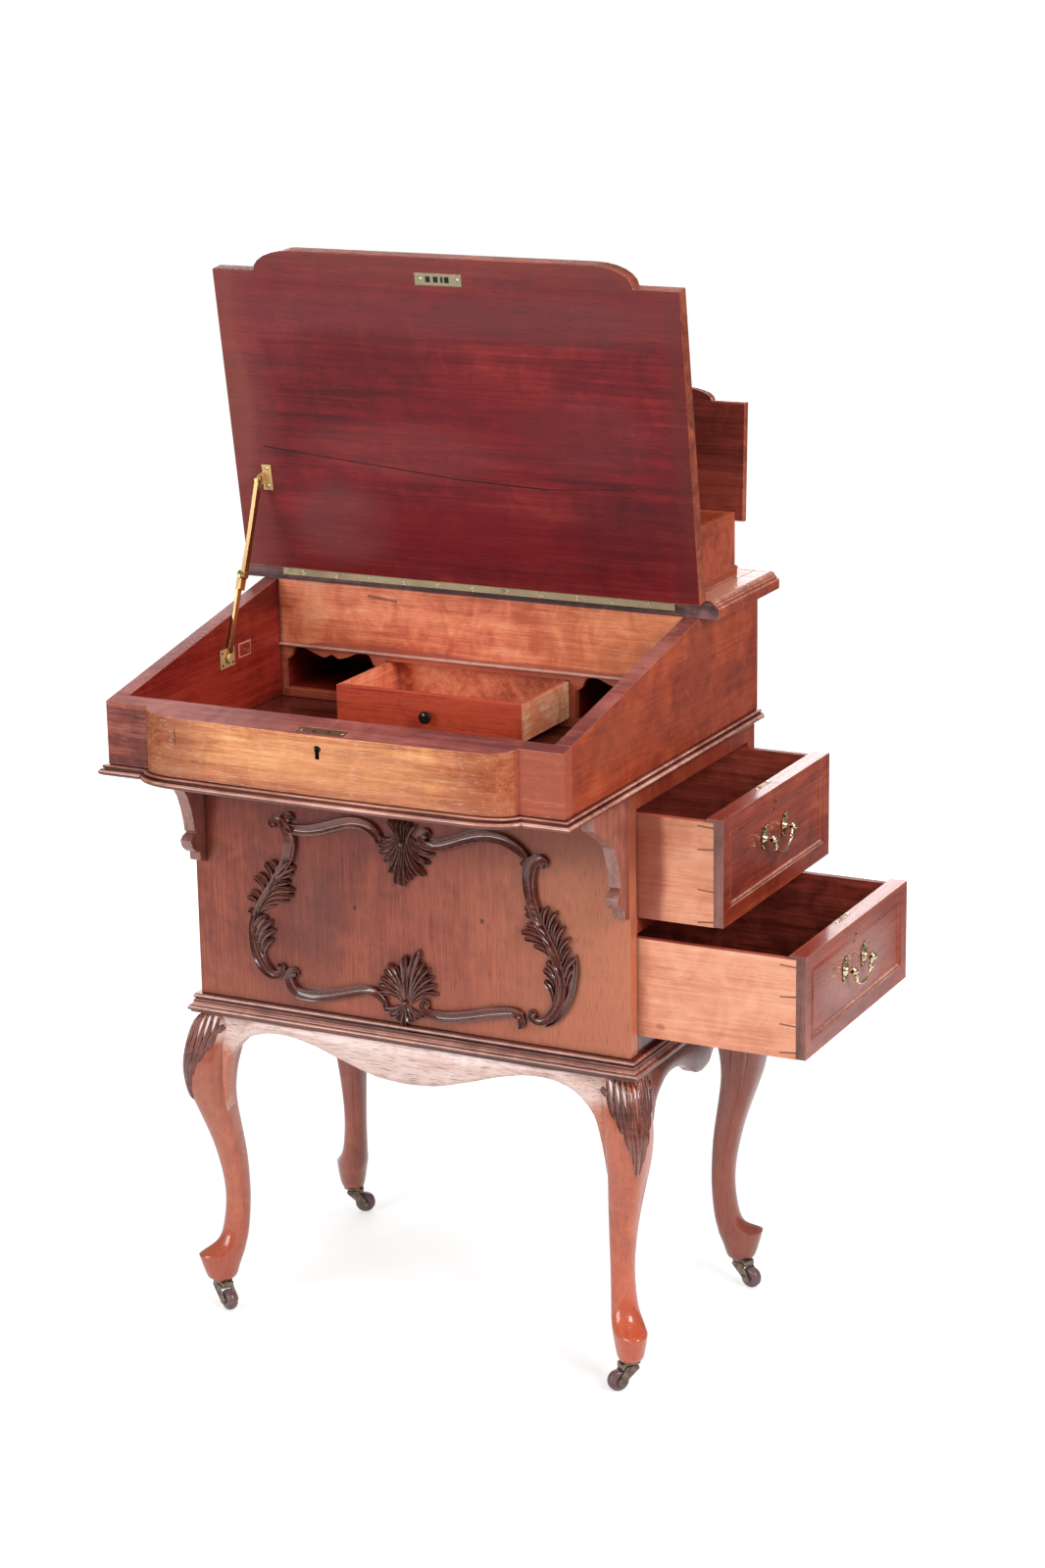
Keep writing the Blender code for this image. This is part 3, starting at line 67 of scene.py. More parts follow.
studio = {
    "world": 0.5,
    "worldTint": (1, 0.985, 0.97, 1),
    "mirrored": 0.18,  # what polished faces see of the room
    "white": (1, 1, 1, 1),
    "lamps": {
        "keyLamp": {"place": (-1.75, -3.0, 1.45), "size": (1.5, 1.9), "watts": 56},
        "fillLamp": {"place": (2.8, -0.9, 2.4), "size": (1.5, 1.5), "watts": 74},
        "topLamp": {"place": (0.1, 0.3, 3.2), "size": (1.6, 1.6), "watts": 20},
        "glareLamp": {"place": (-1.5, 2.9, 1.45), "size": (2.2, 1.3), "watts": 30},
    },
    "aim": (0, 0.2, 0.6),
    "floorGlow": {  # from, to, near, far
        "camera": (0.9, 2.6, 0.56, 0.74), "mirrored": (1.4, 2.4, 0.28, 0.05),
    },
    "floorReach": 30,
    "floorRoughness": 0.9,
    "floorShade": (0.62, 0.62, 0.62, 1),
    "floorDusk": (0.08, 0.08, 0.08, 1),
}


def linked(name, data):
    made = bpy.data.objects.new(name, data)
    bpy.context.scene.collection.objects.link(made)
    return made


def placeCamera(spec):
    data = bpy.data.cameras.new("photoCamera")
    data.lens = spec["lens"]
    data.sensor_width = spec["sensor"]
    made = linked("photoCamera", data)
    turn = Matrix.Rotation(math.radians(spec["azimuth"]), 4, "Z")
    tip = Matrix.Rotation(math.radians(90 - spec["elevation"]), 4, "X")
    roll = Matrix.Rotation(math.radians(spec["roll"]), 4, "Z")
    made.matrix_world = Matrix.Translation(spec["place"]) @ turn @ tip @ roll
    bpy.context.scene.camera = made


def tint(red, green, blue):  # a colour as a picture shows it, 0 to 255
    return tuple(((c / 255 + 0.055) / 1.055) ** 2.4 for c in (red, green, blue)) + (1.0,)


def node(tree, kind, inputs=None, **settings):  # an input is a value or another node's output
    made = tree.nodes.new("ShaderNode" + kind)
    for name, value in settings.items():
        setattr(made, name, value)
    for key, value in (inputs or {}).items():
        if isinstance(value, bpy.types.NodeSocket):
            tree.links.new(value, made.inputs[key])
        else:
            made.inputs[key].default_value = value
    return made


def calc(tree, operation, first, second=0.0, third=0.0):
    return node(tree, "Math", {0: first, 1: second, 2: third}, operation=operation).outputs[0]


def span(tree, value, low, high, start=0.0, end=1.0):
    inputs = {"Value": value, "From Min": low, "From Max": high, "To Min": start, "To Max": end}
    return node(tree, "MapRange", inputs, interpolation_type="SMOOTHSTEP").outputs[0]


def mixed(tree, share, first, second):
    inputs = {0: share, 6: first, 7: second}
    return node(tree, "Mix", inputs, data_type="RGBA", clamp_result=True).outputs[2]


def between(tree, operation, first, second):  # a sum with two vectors
    return node(tree, "VectorMath", {0: first, 1: second}, operation=operation).outputs


def lengthOf(tree, vector):
    return node(tree, "VectorMath", {0: vector}, operation="LENGTH").outputs["Value"]


def objectPlace(tree):
    return node(tree, "TexCoord").outputs["Object"]


def buildStudio(spec):
    world = bpy.data.worlds.new("studioWorld")
    bpy.context.scene.world = world
    world.use_nodes = True
    tree = world.node_tree
    tree.nodes.clear()
    path = node(tree, "LightPath").outputs
    seen = calc(tree, "MAXIMUM", path["Is Camera Ray"], path["Is Transmission Ray"])
    dim = node(tree, "Background", {"Color": spec["worldTint"], "Strength": spec["world"]})
    room = node(tree, "Background", {"Color": spec["white"], "Strength": spec["mirrored"]})
    plain = node(tree, "Background", {"Color": spec["white"], "Strength": 1.0})
    both = node(tree, "MixShader", {0: path["Is Glossy Ray"], 1: dim.outputs[0], 2: room.outputs[0]})
    both = node(tree, "MixShader", {0: seen, 1: both.outputs[0], 2: plain.outputs[0]})
    node(tree, "OutputWorld", {"Surface": both.outputs[0]}).is_active_output = True

    for name, lamp in spec["lamps"].items():
        data = bpy.data.lights.new(name, "AREA")
        data.energy = lamp["watts"]
        data.shape = "RECTANGLE"
        data.size, data.size_y = lamp["size"]
        made = linked(name, data)
        aim = (Vector(spec["aim"]) - Vector(lamp["place"])).to_track_quat("-Z", "Y")
        made.matrix_world = Matrix.Translation(lamp["place"]) @ aim.to_matrix().to_4x4()

    bm = bmesh.new()
    bmesh.ops.create_grid(bm, x_segments=1, y_segments=1, size=spec["floorReach"])
    mesh = bpy.data.meshes.new("studioFloor")
    bm.to_mesh(mesh)
    bm.free()
    made = bpy.data.materials.new("paleFloor")
    made.use_nodes = True
    tree = made.node_tree
    shader = tree.nodes["Principled BSDF"]
    shader.inputs["Roughness"].default_value = spec["floorRoughness"]
    path = node(tree, "LightPath").outputs
    away = lengthOf(tree, objectPlace(tree))
    direct, mirrored = spec["floorGlow"]["camera"], spec["floorGlow"]["mirrored"]
    glow = calc(tree, "MULTIPLY", span(tree, away, *direct), path["Is Camera Ray"])
    glow = calc(tree, "MULTIPLY_ADD", span(tree, away, *mirrored), path["Is Glossy Ray"], glow)
    far = calc(tree, "MULTIPLY", span(tree, away, *mirrored[:2]), path["Is Glossy Ray"])
    shader.inputs["Emission Color"].default_value = spec["white"]
    tree.links.new(glow, shader.inputs["Emission Strength"])
    tree.links.new(mixed(tree, far, spec["floorShade"], spec["floorDusk"]), shader.inputs["Base Color"])
    mesh.materials.append(made)
    linked("studioFloor", mesh)


placeCamera(camera)
buildStudio(studio)
bpy.context.scene.view_settings.view_transform = "Standard"
print("camera and studio placed")


# finishes

def startFinish(name):
    made = bpy.data.materials.new(name)
    made.use_nodes = True
    tree = made.node_tree
    return made, tree, tree.nodes["Principled BSDF"]


def shades(tree, value, stops):
    made = node(tree, "ValToRGB", {"Fac": value})
    ramp = made.color_ramp
    while len(ramp.elements) < len(stops):
        ramp.elements.new(1.0)
    for element, (place, colour) in zip(ramp.elements, stops):
        element.position = place
        element.color = colour
    return made.outputs["Color"]


def grain(tree, along, shift, stretch, scale, detail=3.0, bend=0.0, rough=0.55):
    squeeze = [1.0, 1.0, 1.0]
    squeeze["XYZ".index(along)] = stretch
    place = node(tree, "Mapping", {"Vector": objectPlace(tree), "Location": shift, "Scale": squeeze})
    inputs = {
        "Vector": place.outputs[0], "Scale": scale, "Detail": detail, "Distortion": bend, "Roughness": rough,
    }
    return node(tree, "TexNoise", inputs).outputs["Fac"]


def axisValue(tree, axis):
    return node(tree, "SeparateXYZ", {0: objectPlace(tree)}).outputs["XYZ".index(axis)]


def hollows(tree, reach, low, high, share):
    shade = node(tree, "AmbientOcclusion", {"Distance": reach}, samples=6).outputs["AO"]
    return span(tree, shade, low, high, share, 0.0)


def arrises(tree, radius, share):  # pale corners, partly wear and partly painted highlight, where a rounded normal leaves the flat one
    rounded = node(tree, "Bevel", {"Radius": radius}, samples=4).outputs[0]
    plain = node(tree, "NewGeometry").outputs["Normal"]
    match = between(tree, "DOT_PRODUCT", rounded, plain)["Value"]
    return span(tree, match, 0.985, 0.86, 0.0, share)


woodGrain = {  # stretch along the board, scale, detail, bend, roughness
    "figure": (0.25, 6.0, 3.0, 0.7),
    "streaks": (0.04, 130.0, 5.0, 0.25, 0.62),
    "fibres": (0.03, 620.0),
    "mottle": (1.3, 26.0, 4.0, 1.0),
    "pores": (0.05, 1100.0, 1.0),
    "flecks": (0.07, 1150.0, 2.0),
}
woodLook = {
    "along": "X",
    "shift": (0.0, 0.0, 0.0),
    "contrast": 1.8,
    "figure": 0.85,    # broad waves of tone
    "streaks": 0.5,    # lines of growth
    "fibres": 0.35,
    "mottle": 0.35,    # cross figure
    "pores": 0.35,     # short dark dashes
    "flecks": 0.0,     # short pale dashes
    "roughness": 0.36,
    "coat": 0.6,
    "relief": 0.22,
    "grime": 0.4,      # painted shade in the hollows
    "grimeReach": 0.005,
    "coatRoughness": 0.12,
    "wear": 0.35,      # pale on the arrises, partly wear and partly painted highlight
    "wearReach": 0.0011,
    "wornShade": (222, 150, 124),
    "sheen": 0.5,      # the shader's specular level
    "markShade": (30, 10, 8),
    "poreShade": (30, 8, 6),
    "fleckShade": (250, 228, 208),
    "grimeShade": (24, 8, 7),
    "bumpReach": 0.0004,
    "fades": (),       # (axis, from, to, colour, share)
    "patches": (),     # (centre, radii, colour, share)
    "marks": (),       # (across axis, level, slope, half width, along axis, start, end, share)
}


tones = ("figure", "streaks", "fibres", "mottle")  # the layers that make the colour


def cover(tree, shader, colour, rough, strength, reach, height):
    bump = node(tree, "Bump", {"Strength": strength, "Distance": reach, "Height": height})
    tree.links.new(colour, shader.inputs["Base Color"])
    tree.links.new(rough, shader.inputs["Roughness"])
    tree.links.new(bump.outputs[0], shader.inputs["Normal"])


def timber(name, dark, middle, light, **changes):  # the three shades of the grain, 0 to 255
    look = {**woodLook, **changes}
    made, tree, shader = startFinish(name)
    layers = {key: grain(tree, look["along"], look["shift"], *sizes) for key, sizes in woodGrain.items()}
    figure, streaks, fibres, mottle = [layers[key] for key in tones]
    total = 0.5 - 0.5 * look["contrast"] * sum(look[key] for key in tones)
    for key in tones:
        total = calc(tree, "MULTIPLY_ADD", layers[key], look[key] * look["contrast"], total)
    colour = shades(tree, total, [(0.2, tint(*dark)), (0.5, tint(*middle)), (0.8, tint(*light))])
    for axis, start, end, shade, share in look["fades"]:
        moved = calc(tree, "MULTIPLY_ADD", calc(tree, "SUBTRACT", figure, 0.5), 0.05, axisValue(tree, axis))
        faded = mixed(tree, 0.3, tint(*shade), colour)
        colour = mixed(tree, span(tree, moved, start, end, 0.0, share), colour, faded)
    for centre, radii, shade, share in look["patches"]:
        away = between(tree, "SUBTRACT", objectPlace(tree), centre)[0]
        length = lengthOf(tree, between(tree, "MULTIPLY", away, [1 / r for r in radii])[0])
        ragged = calc(tree, "MULTIPLY_ADD", mottle, 0.5, length)
        colour = mixed(tree, span(tree, ragged, 1.45, 0.75, 0.0, share), colour, tint(*shade))
    for acrossAxis, level, slope, half, alongAxis, start, end, share in look["marks"]:
        run = axisValue(tree, alongAxis)
        line = calc(tree, "MULTIPLY_ADD", calc(tree, "SUBTRACT", run, start), slope, level)
        line = calc(tree, "MULTIPLY_ADD", calc(tree, "SUBTRACT", streaks, 0.5), 0.002, line)
        off = calc(tree, "ABSOLUTE", calc(tree, "SUBTRACT", axisValue(tree, acrossAxis), line))
        inside = calc(
            tree, "MULTIPLY", calc(tree, "GREATER_THAN", run, start), calc(tree, "LESS_THAN", run, end),
        )
        inside = calc(tree, "MULTIPLY", span(tree, off, half * 1.5, half * 0.5, 0.0, share), inside)
        colour = mixed(tree, inside, colour, tint(*look["markShade"]))
    dashes = span(tree, layers["pores"], 0.55, 0.68)
    pored = mixed(tree, 0.7, colour, tint(*look["poreShade"]))
    colour = mixed(tree, calc(tree, "MULTIPLY", dashes, look["pores"]), colour, pored)
    if look["flecks"]:
        pale = span(tree, layers["flecks"], 0.625, 0.7)
        colour = mixed(tree, calc(tree, "MULTIPLY", pale, look["flecks"]), colour, tint(*look["fleckShade"]))
    # pale arrises: partly wear, partly painted highlight
    if look["wear"]:
        worn = arrises(tree, look["wearReach"], look["wear"])
        colour = mixed(tree, worn, colour, tint(*look["wornShade"]))
    # painted shade: darker in the hollows, corners and joints, where shade falls
    if look["grime"]:
        hollowShadeShare = hollows(tree, look["grimeReach"], 0.3, 0.85, look["grime"])
        colour = mixed(tree, hollowShadeShare, colour, tint(*look["grimeShade"]))
    rough = span(tree, streaks, 0.3, 0.7, look["roughness"] - 0.06, look["roughness"] + 0.08)
    rough = calc(tree, "MULTIPLY_ADD", dashes, 0.15, rough)
    height = calc(tree, "MULTIPLY_ADD", dashes, -0.8, calc(tree, "ADD", fibres, streaks))
    cover(tree, shader, colour, rough, look["relief"], look["bumpReach"], height)
    sockets = {"Specular IOR Level": "sheen", "Coat Weight": "coat", "Coat Roughness": "coatRoughness"}
    for socket, key in sockets.items():
        shader.inputs[socket].default_value = look[key]
    return made


metalLook = {
    "spots": 0.7,
    # on brass the hollow colour is dark patina
    "grimeReach": 0.003,
    "grimeShade": (26, 16, 8),
    "rougher": 0.25,  # the dull parts are rougher by this
    "relief": 0.2,
    "bumpReach": 0.0003,
}


def metal(name, bright, dull, share=0.5, roughness=0.28, scale=90.0, metallic=1.0, tarnish=0.75):
    made, tree, shader = startFinish(name)
    shader.inputs["Metallic"].default_value = metallic
    cloud = grain(tree, "X", (0, 0, 0), 1.0, scale, 5.0, 0.4)
    spots = grain(tree, "X", (0, 0, 0), 1.0, scale * 8, 2.0)
    spotted = span(tree, spots, 0.58, 0.75, 0.0, share * metalLook["spots"])
    worn = calc(tree, "ADD", span(tree, cloud, 0.35, 0.7, 0.0, share), spotted)
    colour = mixed(tree, worn, tint(*bright), tint(*dull))
    dark = hollows(tree, metalLook["grimeReach"], 0.35, 0.9, tarnish)
    colour = mixed(tree, dark, colour, tint(*metalLook["grimeShade"]))
    rough = span(tree, worn, 0.0, 1.0, roughness, roughness + metalLook["rougher"])
    cover(tree, shader, colour, rough, metalLook["relief"], metalLook["bumpReach"], cloud)
    return made


# on the lid's inside the greyish mauve fades and patches are painted reflection glare; the crimson and dark
# ones are the wood's own tone
lidFades = (
    ("X", -0.215, -0.265, (136, 66, 62), 0.75),
    ("X", -0.255, -0.27, (160, 88, 72), 0.4),
    ("X", 0.25, 0.272, (100, 36, 30), 0.8),
    ("Z", 1.11, 1.18, (126, 56, 58), 0.6),
    ("Z", 1.19, 1.225, (134, 72, 58), 0.5),
    ("Z", 1.0, 0.89, (98, 20, 24), 0.6),
)
lidPatches = (
    ((-0.21, 0.28, 1.13), (0.05, 0.2, 0.05), (118, 62, 66), 0.2),
    ((-0.1, 0.276, 1.16), (0.16, 0.2, 0.03), (108, 50, 56), 0.36),
    ((-0.15, 0.31, 0.92), (0.07, 0.2, 0.05), (128, 70, 72), 0.42),
    ((0.13, 0.27, 1.165), (0.16, 0.2, 0.03), (112, 54, 56), 0.45),
    ((0.16, 0.29, 1.04), (0.09, 0.2, 0.05), (104, 46, 50), 0.4),
    ((0.04, 0.29, 1.05), (0.16, 0.2, 0.045), (122, 16, 26), 0.45),
    ((0.03, 0.3, 0.92), (0.2, 0.2, 0.035), (126, 14, 26), 0.5),
    ((0.2, 0.3, 0.935), (0.08, 0.2, 0.05), (82, 14, 24), 0.5),
    ((-0.1, 0.28, 1.115), (0.13, 0.2, 0.035), (88, 8, 18), 0.5),
    ((-0.06, 0.29, 1.01), (0.14, 0.2, 0.035), (144, 68, 66), 0.3),
)
lidCracks = (
    ("Z", 1.0036, -0.088, 0.0008, "X", -0.2451, 0.0053, 0.85),
    ("Z", 0.9815, -0.031, 0.0009, "X", 0.0053, 0.1133, 0.9),
    ("Z", 0.9782, 0.074, 0.0006, "X", 0.1133, 0.2195, 0.7),
)
panelPatches = (
    ((-0.066, 0.16, 0.519), (0.0026, 0.1, 0.0036), (40, 22, 18), 0.85),
    ((0.0935, 0.16, 0.5246), (0.0026, 0.1, 0.0036), (40, 22, 18), 0.85),
    ((-0.1135, 0.16, 0.51), (0.04, 0.1, 0.07), (128, 66, 52), 0.35),
)
apronEnds = [((side * 0.243, 0.15, 0.296), (0.027, 0.06, 0.052), (204, 108, 74), 0.9) for side in (-1, 1)]
kneeGleams = [
    ((side * 0.252, 0.146, 0.353), (0.022, 0.03, 0.018), (244, 206, 192), 0.75)
    for side in (-1, 1)
]

# looks that several woods share
dry = {"roughness": 0.5, "coat": 0.1}
bare = {"roughness": 0.5, "coat": 0.05}
moulded = {"roughness": 0.3, "coat": 0.6, "wear": 0.0}
polished = {"along": "Z", "streaks": 0.4, "mottle": 0.45, "roughness": 0.3, "coat": 1.0, "wear": 0.2}

finishes = {
    "lidInside": timber(
        "crimsonLidInside", (88, 12, 20), (124, 20, 28), (152, 42, 40), contrast=1.25, figure=0.7,
        streaks=0.9, mottle=0.5, pores=0.25, roughness=0.42, coat=0.08, sheen=0.3, fades=lidFades,
        patches=lidPatches, marks=lidCracks,
    ),
    "lidOutside": timber("polishedLidTop", (96, 34, 22), (140, 58, 38), (172, 84, 56)),
    "lidEdge": timber("lidEdgeWood", (112, 44, 26), (156, 72, 44), (190, 100, 64), wear=0.5),
    "bow": timber(
        "bowedRailWood", (176, 92, 46), (226, 142, 86), (248, 182, 122), flecks=0.45, shift=(0.3, 0, 0),
        streaks=0.9, mottle=0.4, roughness=0.3, coat=0.4,
        fades=(
            ("X", -0.11, -0.19, (138, 58, 30), 1.0), ("X", 0.12, 0.205, (154, 62, 32), 0.95),
            ("Z", 0.722, 0.706, (196, 120, 92), 0.5),
        ),
        patches=(
            # painted highlight: the light pooled in the middle of the bow
            ((0.02, -0.02, 0.738), (0.13, 0.1, 0.03), (244, 168, 112), 0.45),
            ((-0.176, -0.02, 0.748), (0.0012, 0.1, 0.012), (70, 26, 16), 0.8),
        ),
    ),
    "flat": timber(
        "railEndWood", (92, 28, 20), (126, 46, 35), (168, 90, 70), flecks=0.25, streaks=1.0, coat=0.3,
        fades=(("X", 0.19, 0.22, (206, 100, 66), 0.8),),
    ),
    # painted glare: faces that look up take this greyer mauve copy of the wood, for the reflection on them
    "topFaceGlare": timber(
        "mauveTopFaceGlare", (116, 54, 50), (150, 78, 70), (178, 106, 96), grime=0.15, roughness=0.4, coat=0.3,
    ),
    "side": timber(
        "boxSideWood", (132, 46, 24), (172, 70, 38), (198, 96, 58), contrast=1.2, coat=0.4, along="Y",
        streaks=0.3, mottle=0.6,
        patches=(
            ((0.275, 0.12, 0.76), (0.1, 0.07, 0.03), (156, 74, 40), 0.4),
            ((0.275, 0.33, 0.8), (0.1, 0.05, 0.05), (120, 44, 30), 0.4),
        ),
    ),
    "well": timber(
        "wellWood", (198, 92, 60), (244, 144, 102), (254, 194, 148), contrast=1.4, pores=0.3, mottle=0.6,
        fades=(
            # the second fade is painted shade: near black in the corner against the left side
            ("X", 0.0, 0.25, (240, 156, 92), 0.5), ("X", -0.25, -0.2556, (50, 14, 10), 0.9),
            ("Z", 0.766, 0.7625, (158, 66, 46), 0.95),
        ),
        marks=(("Z", 0.8313, -0.094, 0.0018, "X", -0.1377, -0.0996, 0.6),), **bare,
    ),
    "wellRed": timber(
        "wellRedWood", (92, 14, 9), (126, 25, 15), (156, 46, 30), along="Y", roughness=0.45, coat=0.1,
    ),
    "panel": timber(
        "frontPanelWood", (110, 40, 26), (138, 57, 38), (166, 80, 54), along="Z", contrast=1.6, streaks=0.3,
        figure=0.9, fibres=0.6, mottle=0.45, pores=0.45, coat=0.25,
        fades=(
            ("X", 0.02, 0.26, (224, 138, 98), 0.85), ("Z", 0.47, 0.41, (182, 100, 70), 0.45),
            # painted shadow under the writing box's overhang, darker towards the top
            ("Z", 0.57, 0.63, (104, 22, 10), 0.75),
        ),
        # painted shade round the carving, reaching far from its hollows
        patches=panelPatches, grime=0.5, grimeReach=0.012,
    ),
    "bracket": timber("bracketWood", (118, 60, 50), (150, 84, 70), (176, 110, 94), along="Z", grime=0.3),
    "pedestal": timber(
        "pedestalWood", (116, 40, 24), (154, 62, 40), (180, 86, 56), along="Z", contrast=1.3, streaks=0.3,
        coat=0.3,
    ),
    "moulding": timber(
        "mouldingWood", (76, 30, 22), (112, 48, 36), (148, 76, 58), grime=0.5, grimeReach=0.003, **moulded,
    ),
    "gleam": timber(
        "mouldingCrestWood", (150, 88, 72), (198, 136, 116), (230, 180, 160), grime=0.25, grimeReach=0.002,
        **moulded,
    ),
    # painted glare: the faces towards the room are a paler mauve copy of the bracket wood
    "bracketGlareFace": timber("bracketGlareFaceWood", (110, 68, 60), (148, 98, 88), (176, 126, 114), along="Z"),
    # painted glare: the apron's pale pinkish white stands for the light it reflects; the darker band at its
    # top is painted shade under the moulding
    "apron": timber(
        "apronWood", (188, 132, 116), (234, 200, 190), (250, 230, 224), contrast=0.9, pores=0.75, mottle=0.5,
        roughness=0.32, fades=(("Z", 0.36, 0.372, (190, 128, 112), 0.6),), patches=apronEnds,
    ),
    "leg": timber(
        "legWood", (150, 64, 40), (208, 101, 66), (234, 136, 96), contrast=1.5,
        fades=(
            ("Z", 0.2, 0.3, (146, 72, 48), 0.45), ("Z", 0.17, 0.08, (204, 62, 20), 0.7),
            ("X", -0.18, -0.24, (142, 66, 42), 0.7), ("X", 0.2, 0.25, (222, 114, 76), 0.5),
        ),
        coatRoughness=0.06, patches=kneeGleams, **polished,
    ),
    "backLeg": timber(
        "backLegWood", (116, 42, 26), (152, 64, 40), (180, 90, 60), contrast=1.4,
        # painted shade: the right back leg, which the lamps light more, is darkened
        fades=(("X", 0.12, 0.25, (112, 48, 32), 0.6),), **polished,
    ),
    "drawerFront": timber(
        "drawerFrontWood", (118, 38, 23), (156, 59, 36), (184, 86, 56), along="Y", wear=0.5,
        wornShade=(232, 160, 138),
        # painted sheen: a broad pale reflection on the lower drawer's face
        patches=(((0.466, 0.33, 0.475), (0.02, 0.11, 0.045), (186, 140, 132), 0.5),),
    ),
    "drawerInside": timber(
        "drawerInsideWood", (100, 34, 26), (164, 68, 52), (196, 94, 72), grime=0.1, **dry,
    ),
    "endGrain": timber("endGrainWood", (96, 58, 52), (128, 82, 74), (152, 106, 96), along="Z", **dry),
    "innerDrawer": timber(
        "innerDrawerWood", (186, 92, 62), (230, 132, 94), (248, 168, 126), along="Y", mottle=0.6, **bare,
    ),
    # painted light: the small drawer's right end is a far paler copy of its wood, for the light on it
    "innerEndLit": timber(
        "innerDrawerEndLitWood", (236, 150, 108), (255, 206, 164), (255, 230, 200), along="Y", mottle=0.6,
        grime=0.1, **bare,
    ),
    "innerFront": timber(
        "innerDrawerFrontWood", (138, 32, 17), (174, 48, 26), (204, 78, 46), roughness=0.42, coat=0.2,
    ),
    "carving": timber(
        "carvedWood", (60, 22, 16), (102, 42, 32), (146, 76, 60), contrast=1.2, roughness=0.24, coat=1.0,
        coatRoughness=0.07, grime=0.75, grimeReach=0.004, wear=0.8, wearReach=0.0005,
        wornShade=(238, 190, 174),
    ),
    "stationery": timber(
        "stationeryBoxWood", (130, 50, 30), (172, 74, 46), (200, 102, 68), contrast=1.3, wear=0.5, coat=0.3,
        # painted highlight on the top of the shelf's right end
        patches=(((0.284, 0.42, 0.862), (0.03, 0.1, 0.004), (226, 164, 142), 0.6),),
    ),
    "stationeryInside": timber(
        "stationeryLidInside", (84, 28, 22), (120, 44, 34), (148, 62, 48), roughness=0.45, coat=0.1,
    ),
    "shelfFront": timber(
        "shelfFrontWood", (62, 34, 38), (92, 54, 56), (134, 92, 92), streaks=1.2, mottle=0.8, **dry,
    ),
    "brass": metal("warmBrass", (222, 186, 120), (156, 118, 66), 0.4, 0.26),
    "handleBrass": metal("castHandleBrass", (244, 224, 190), (150, 116, 76), 0.4, 0.2, 160.0, tarnish=0.95),
    "agedBrass": metal("agedBrass", (206, 192, 160), (140, 124, 96), 0.4, 0.3, 14.0),
    "hingeBrass": metal("dullHingeBrass", (180, 166, 134), (122, 108, 82), 0.4, 0.34, 14.0),
    "plateBrass": metal("wallPlateBrass", (236, 200, 138), (190, 148, 92), 0.3, 0.4, 30.0, 0.5, 0.3),
    "stayBrass": metal("stayBrass", (204, 170, 120), (162, 126, 80), 0.25, 0.34, 16.0, tarnish=0.3),
    "lockBrass": metal("dullLockBrass", (192, 156, 128), (122, 84, 66), 0.6, 0.36, 120.0),
    "screwBrass": metal("screwBrass", (252, 238, 206), (190, 166, 120), 0.3, 0.24, tarnish=0.3),
    "casterBrass": metal("casterBronze", (150, 132, 118), (70, 54, 48), 0.7, 0.34, 140.0, 0.8),
    "casterWheel": metal("casterWheelBrown", (126, 96, 98), (82, 56, 56), 0.6, 0.22, 60.0, 0.0),
    "ebony": metal("ebonisedKnob", (28, 22, 20), (14, 10, 10), 0.5, 0.12, 60.0, 0.0),
    "shadow": metal("screwSlotShadow", (26, 16, 12), (14, 8, 6), 0.5, 0.6, 60.0, 0.0),
}
drawerSides = {
    "upperSide": {
        "shades": ((184, 94, 64), (222, 144, 110), (242, 184, 150)),
        # painted cast shadow: dark red over the part of the side next to and inside the cabinet
        "behind": ("X", 0.309, 0.296, (124, 2, 0), 1.0),
        "dovetails": (0.6575, 0.631, 0.587, 0.5505),
        "from": 0.3415,
    },
    "lowerSide": {
        "shades": ((196, 108, 78), (236, 160, 126), (250, 196, 164)),
        # painted cast shadow of the cabinet's front on the side
        "behind": ("X", 0.278, 0.2735, (140, 44, 32), 0.4),
        "dovetails": (0.516, 0.4805, 0.45, 0.418),
        "from": 0.436,
    },
}
drawerStain = ((0.298, 0.18, 0.426), (0.006, 0.02, 0.004), (160, 92, 64), 0.6)
for name, spec in drawerSides.items():
    joints = [
        ("Z", level, 0.16 * (i % 2) - 0.06, 0.0008, "X", spec["from"], spec["from"] + 0.019, 0.8)
        for i, level in enumerate(spec["dovetails"])
    ]
    finishes[name] = timber(
        name + "Wood", *spec["shades"], contrast=1.3, streaks=0.3, pores=0.12, wear=0.2,
        patches=[drawerStain], fades=[spec["behind"]], marks=joints, **bare,
    )
print("finishes made:", len(finishes))


# helpers for shapes

rightward = Vector((1, 0, 0))
backward = Vector((0, 1, 0))
skyward = Vector((0, 0, 1))


def settle(
    name, bm, finish, body="cabinet", replaced=(),
    edge=0.0, segments=2, level=0, sharp=38, merge=2e-6,
):  # a finished piece: its mesh, finishes, softened edges, body and the nodes it replaces
    bmesh.ops.remove_doubles(bm, verts=bm.verts, dist=merge)
    bmesh.ops.recalc_face_normals(bm, faces=bm.faces)
    mesh = bpy.data.meshes.new(name)
    bm.to_mesh(mesh)
    bm.free()
    for item in finish if isinstance(finish, list) else [finish]:
        mesh.materials.append(finishes[item])
    mesh.shade_smooth()
    made = linked(name, mesh)
    if level:
        smoother = made.modifiers.new("smoother", "SUBSURF")
        smoother.levels = level
        smoother.render_levels = level
    if edge:
        softener = made.modifiers.new("softEdge", "BEVEL")
        softener.width = edge
        softener.segments = segments
        softener.limit_method = "ANGLE"
        softener.angle_limit = math.radians(sharp)
        evener = made.modifiers.new("evenShade", "WEIGHTED_NORMAL")
        evener.weight = 90
        evener.keep_sharp = True
    elif not level:
        mesh.set_sharp_from_angle(angle=math.radians(sharp))
    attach(made, body)
    if replaced:
        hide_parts(*replaced)
    return made


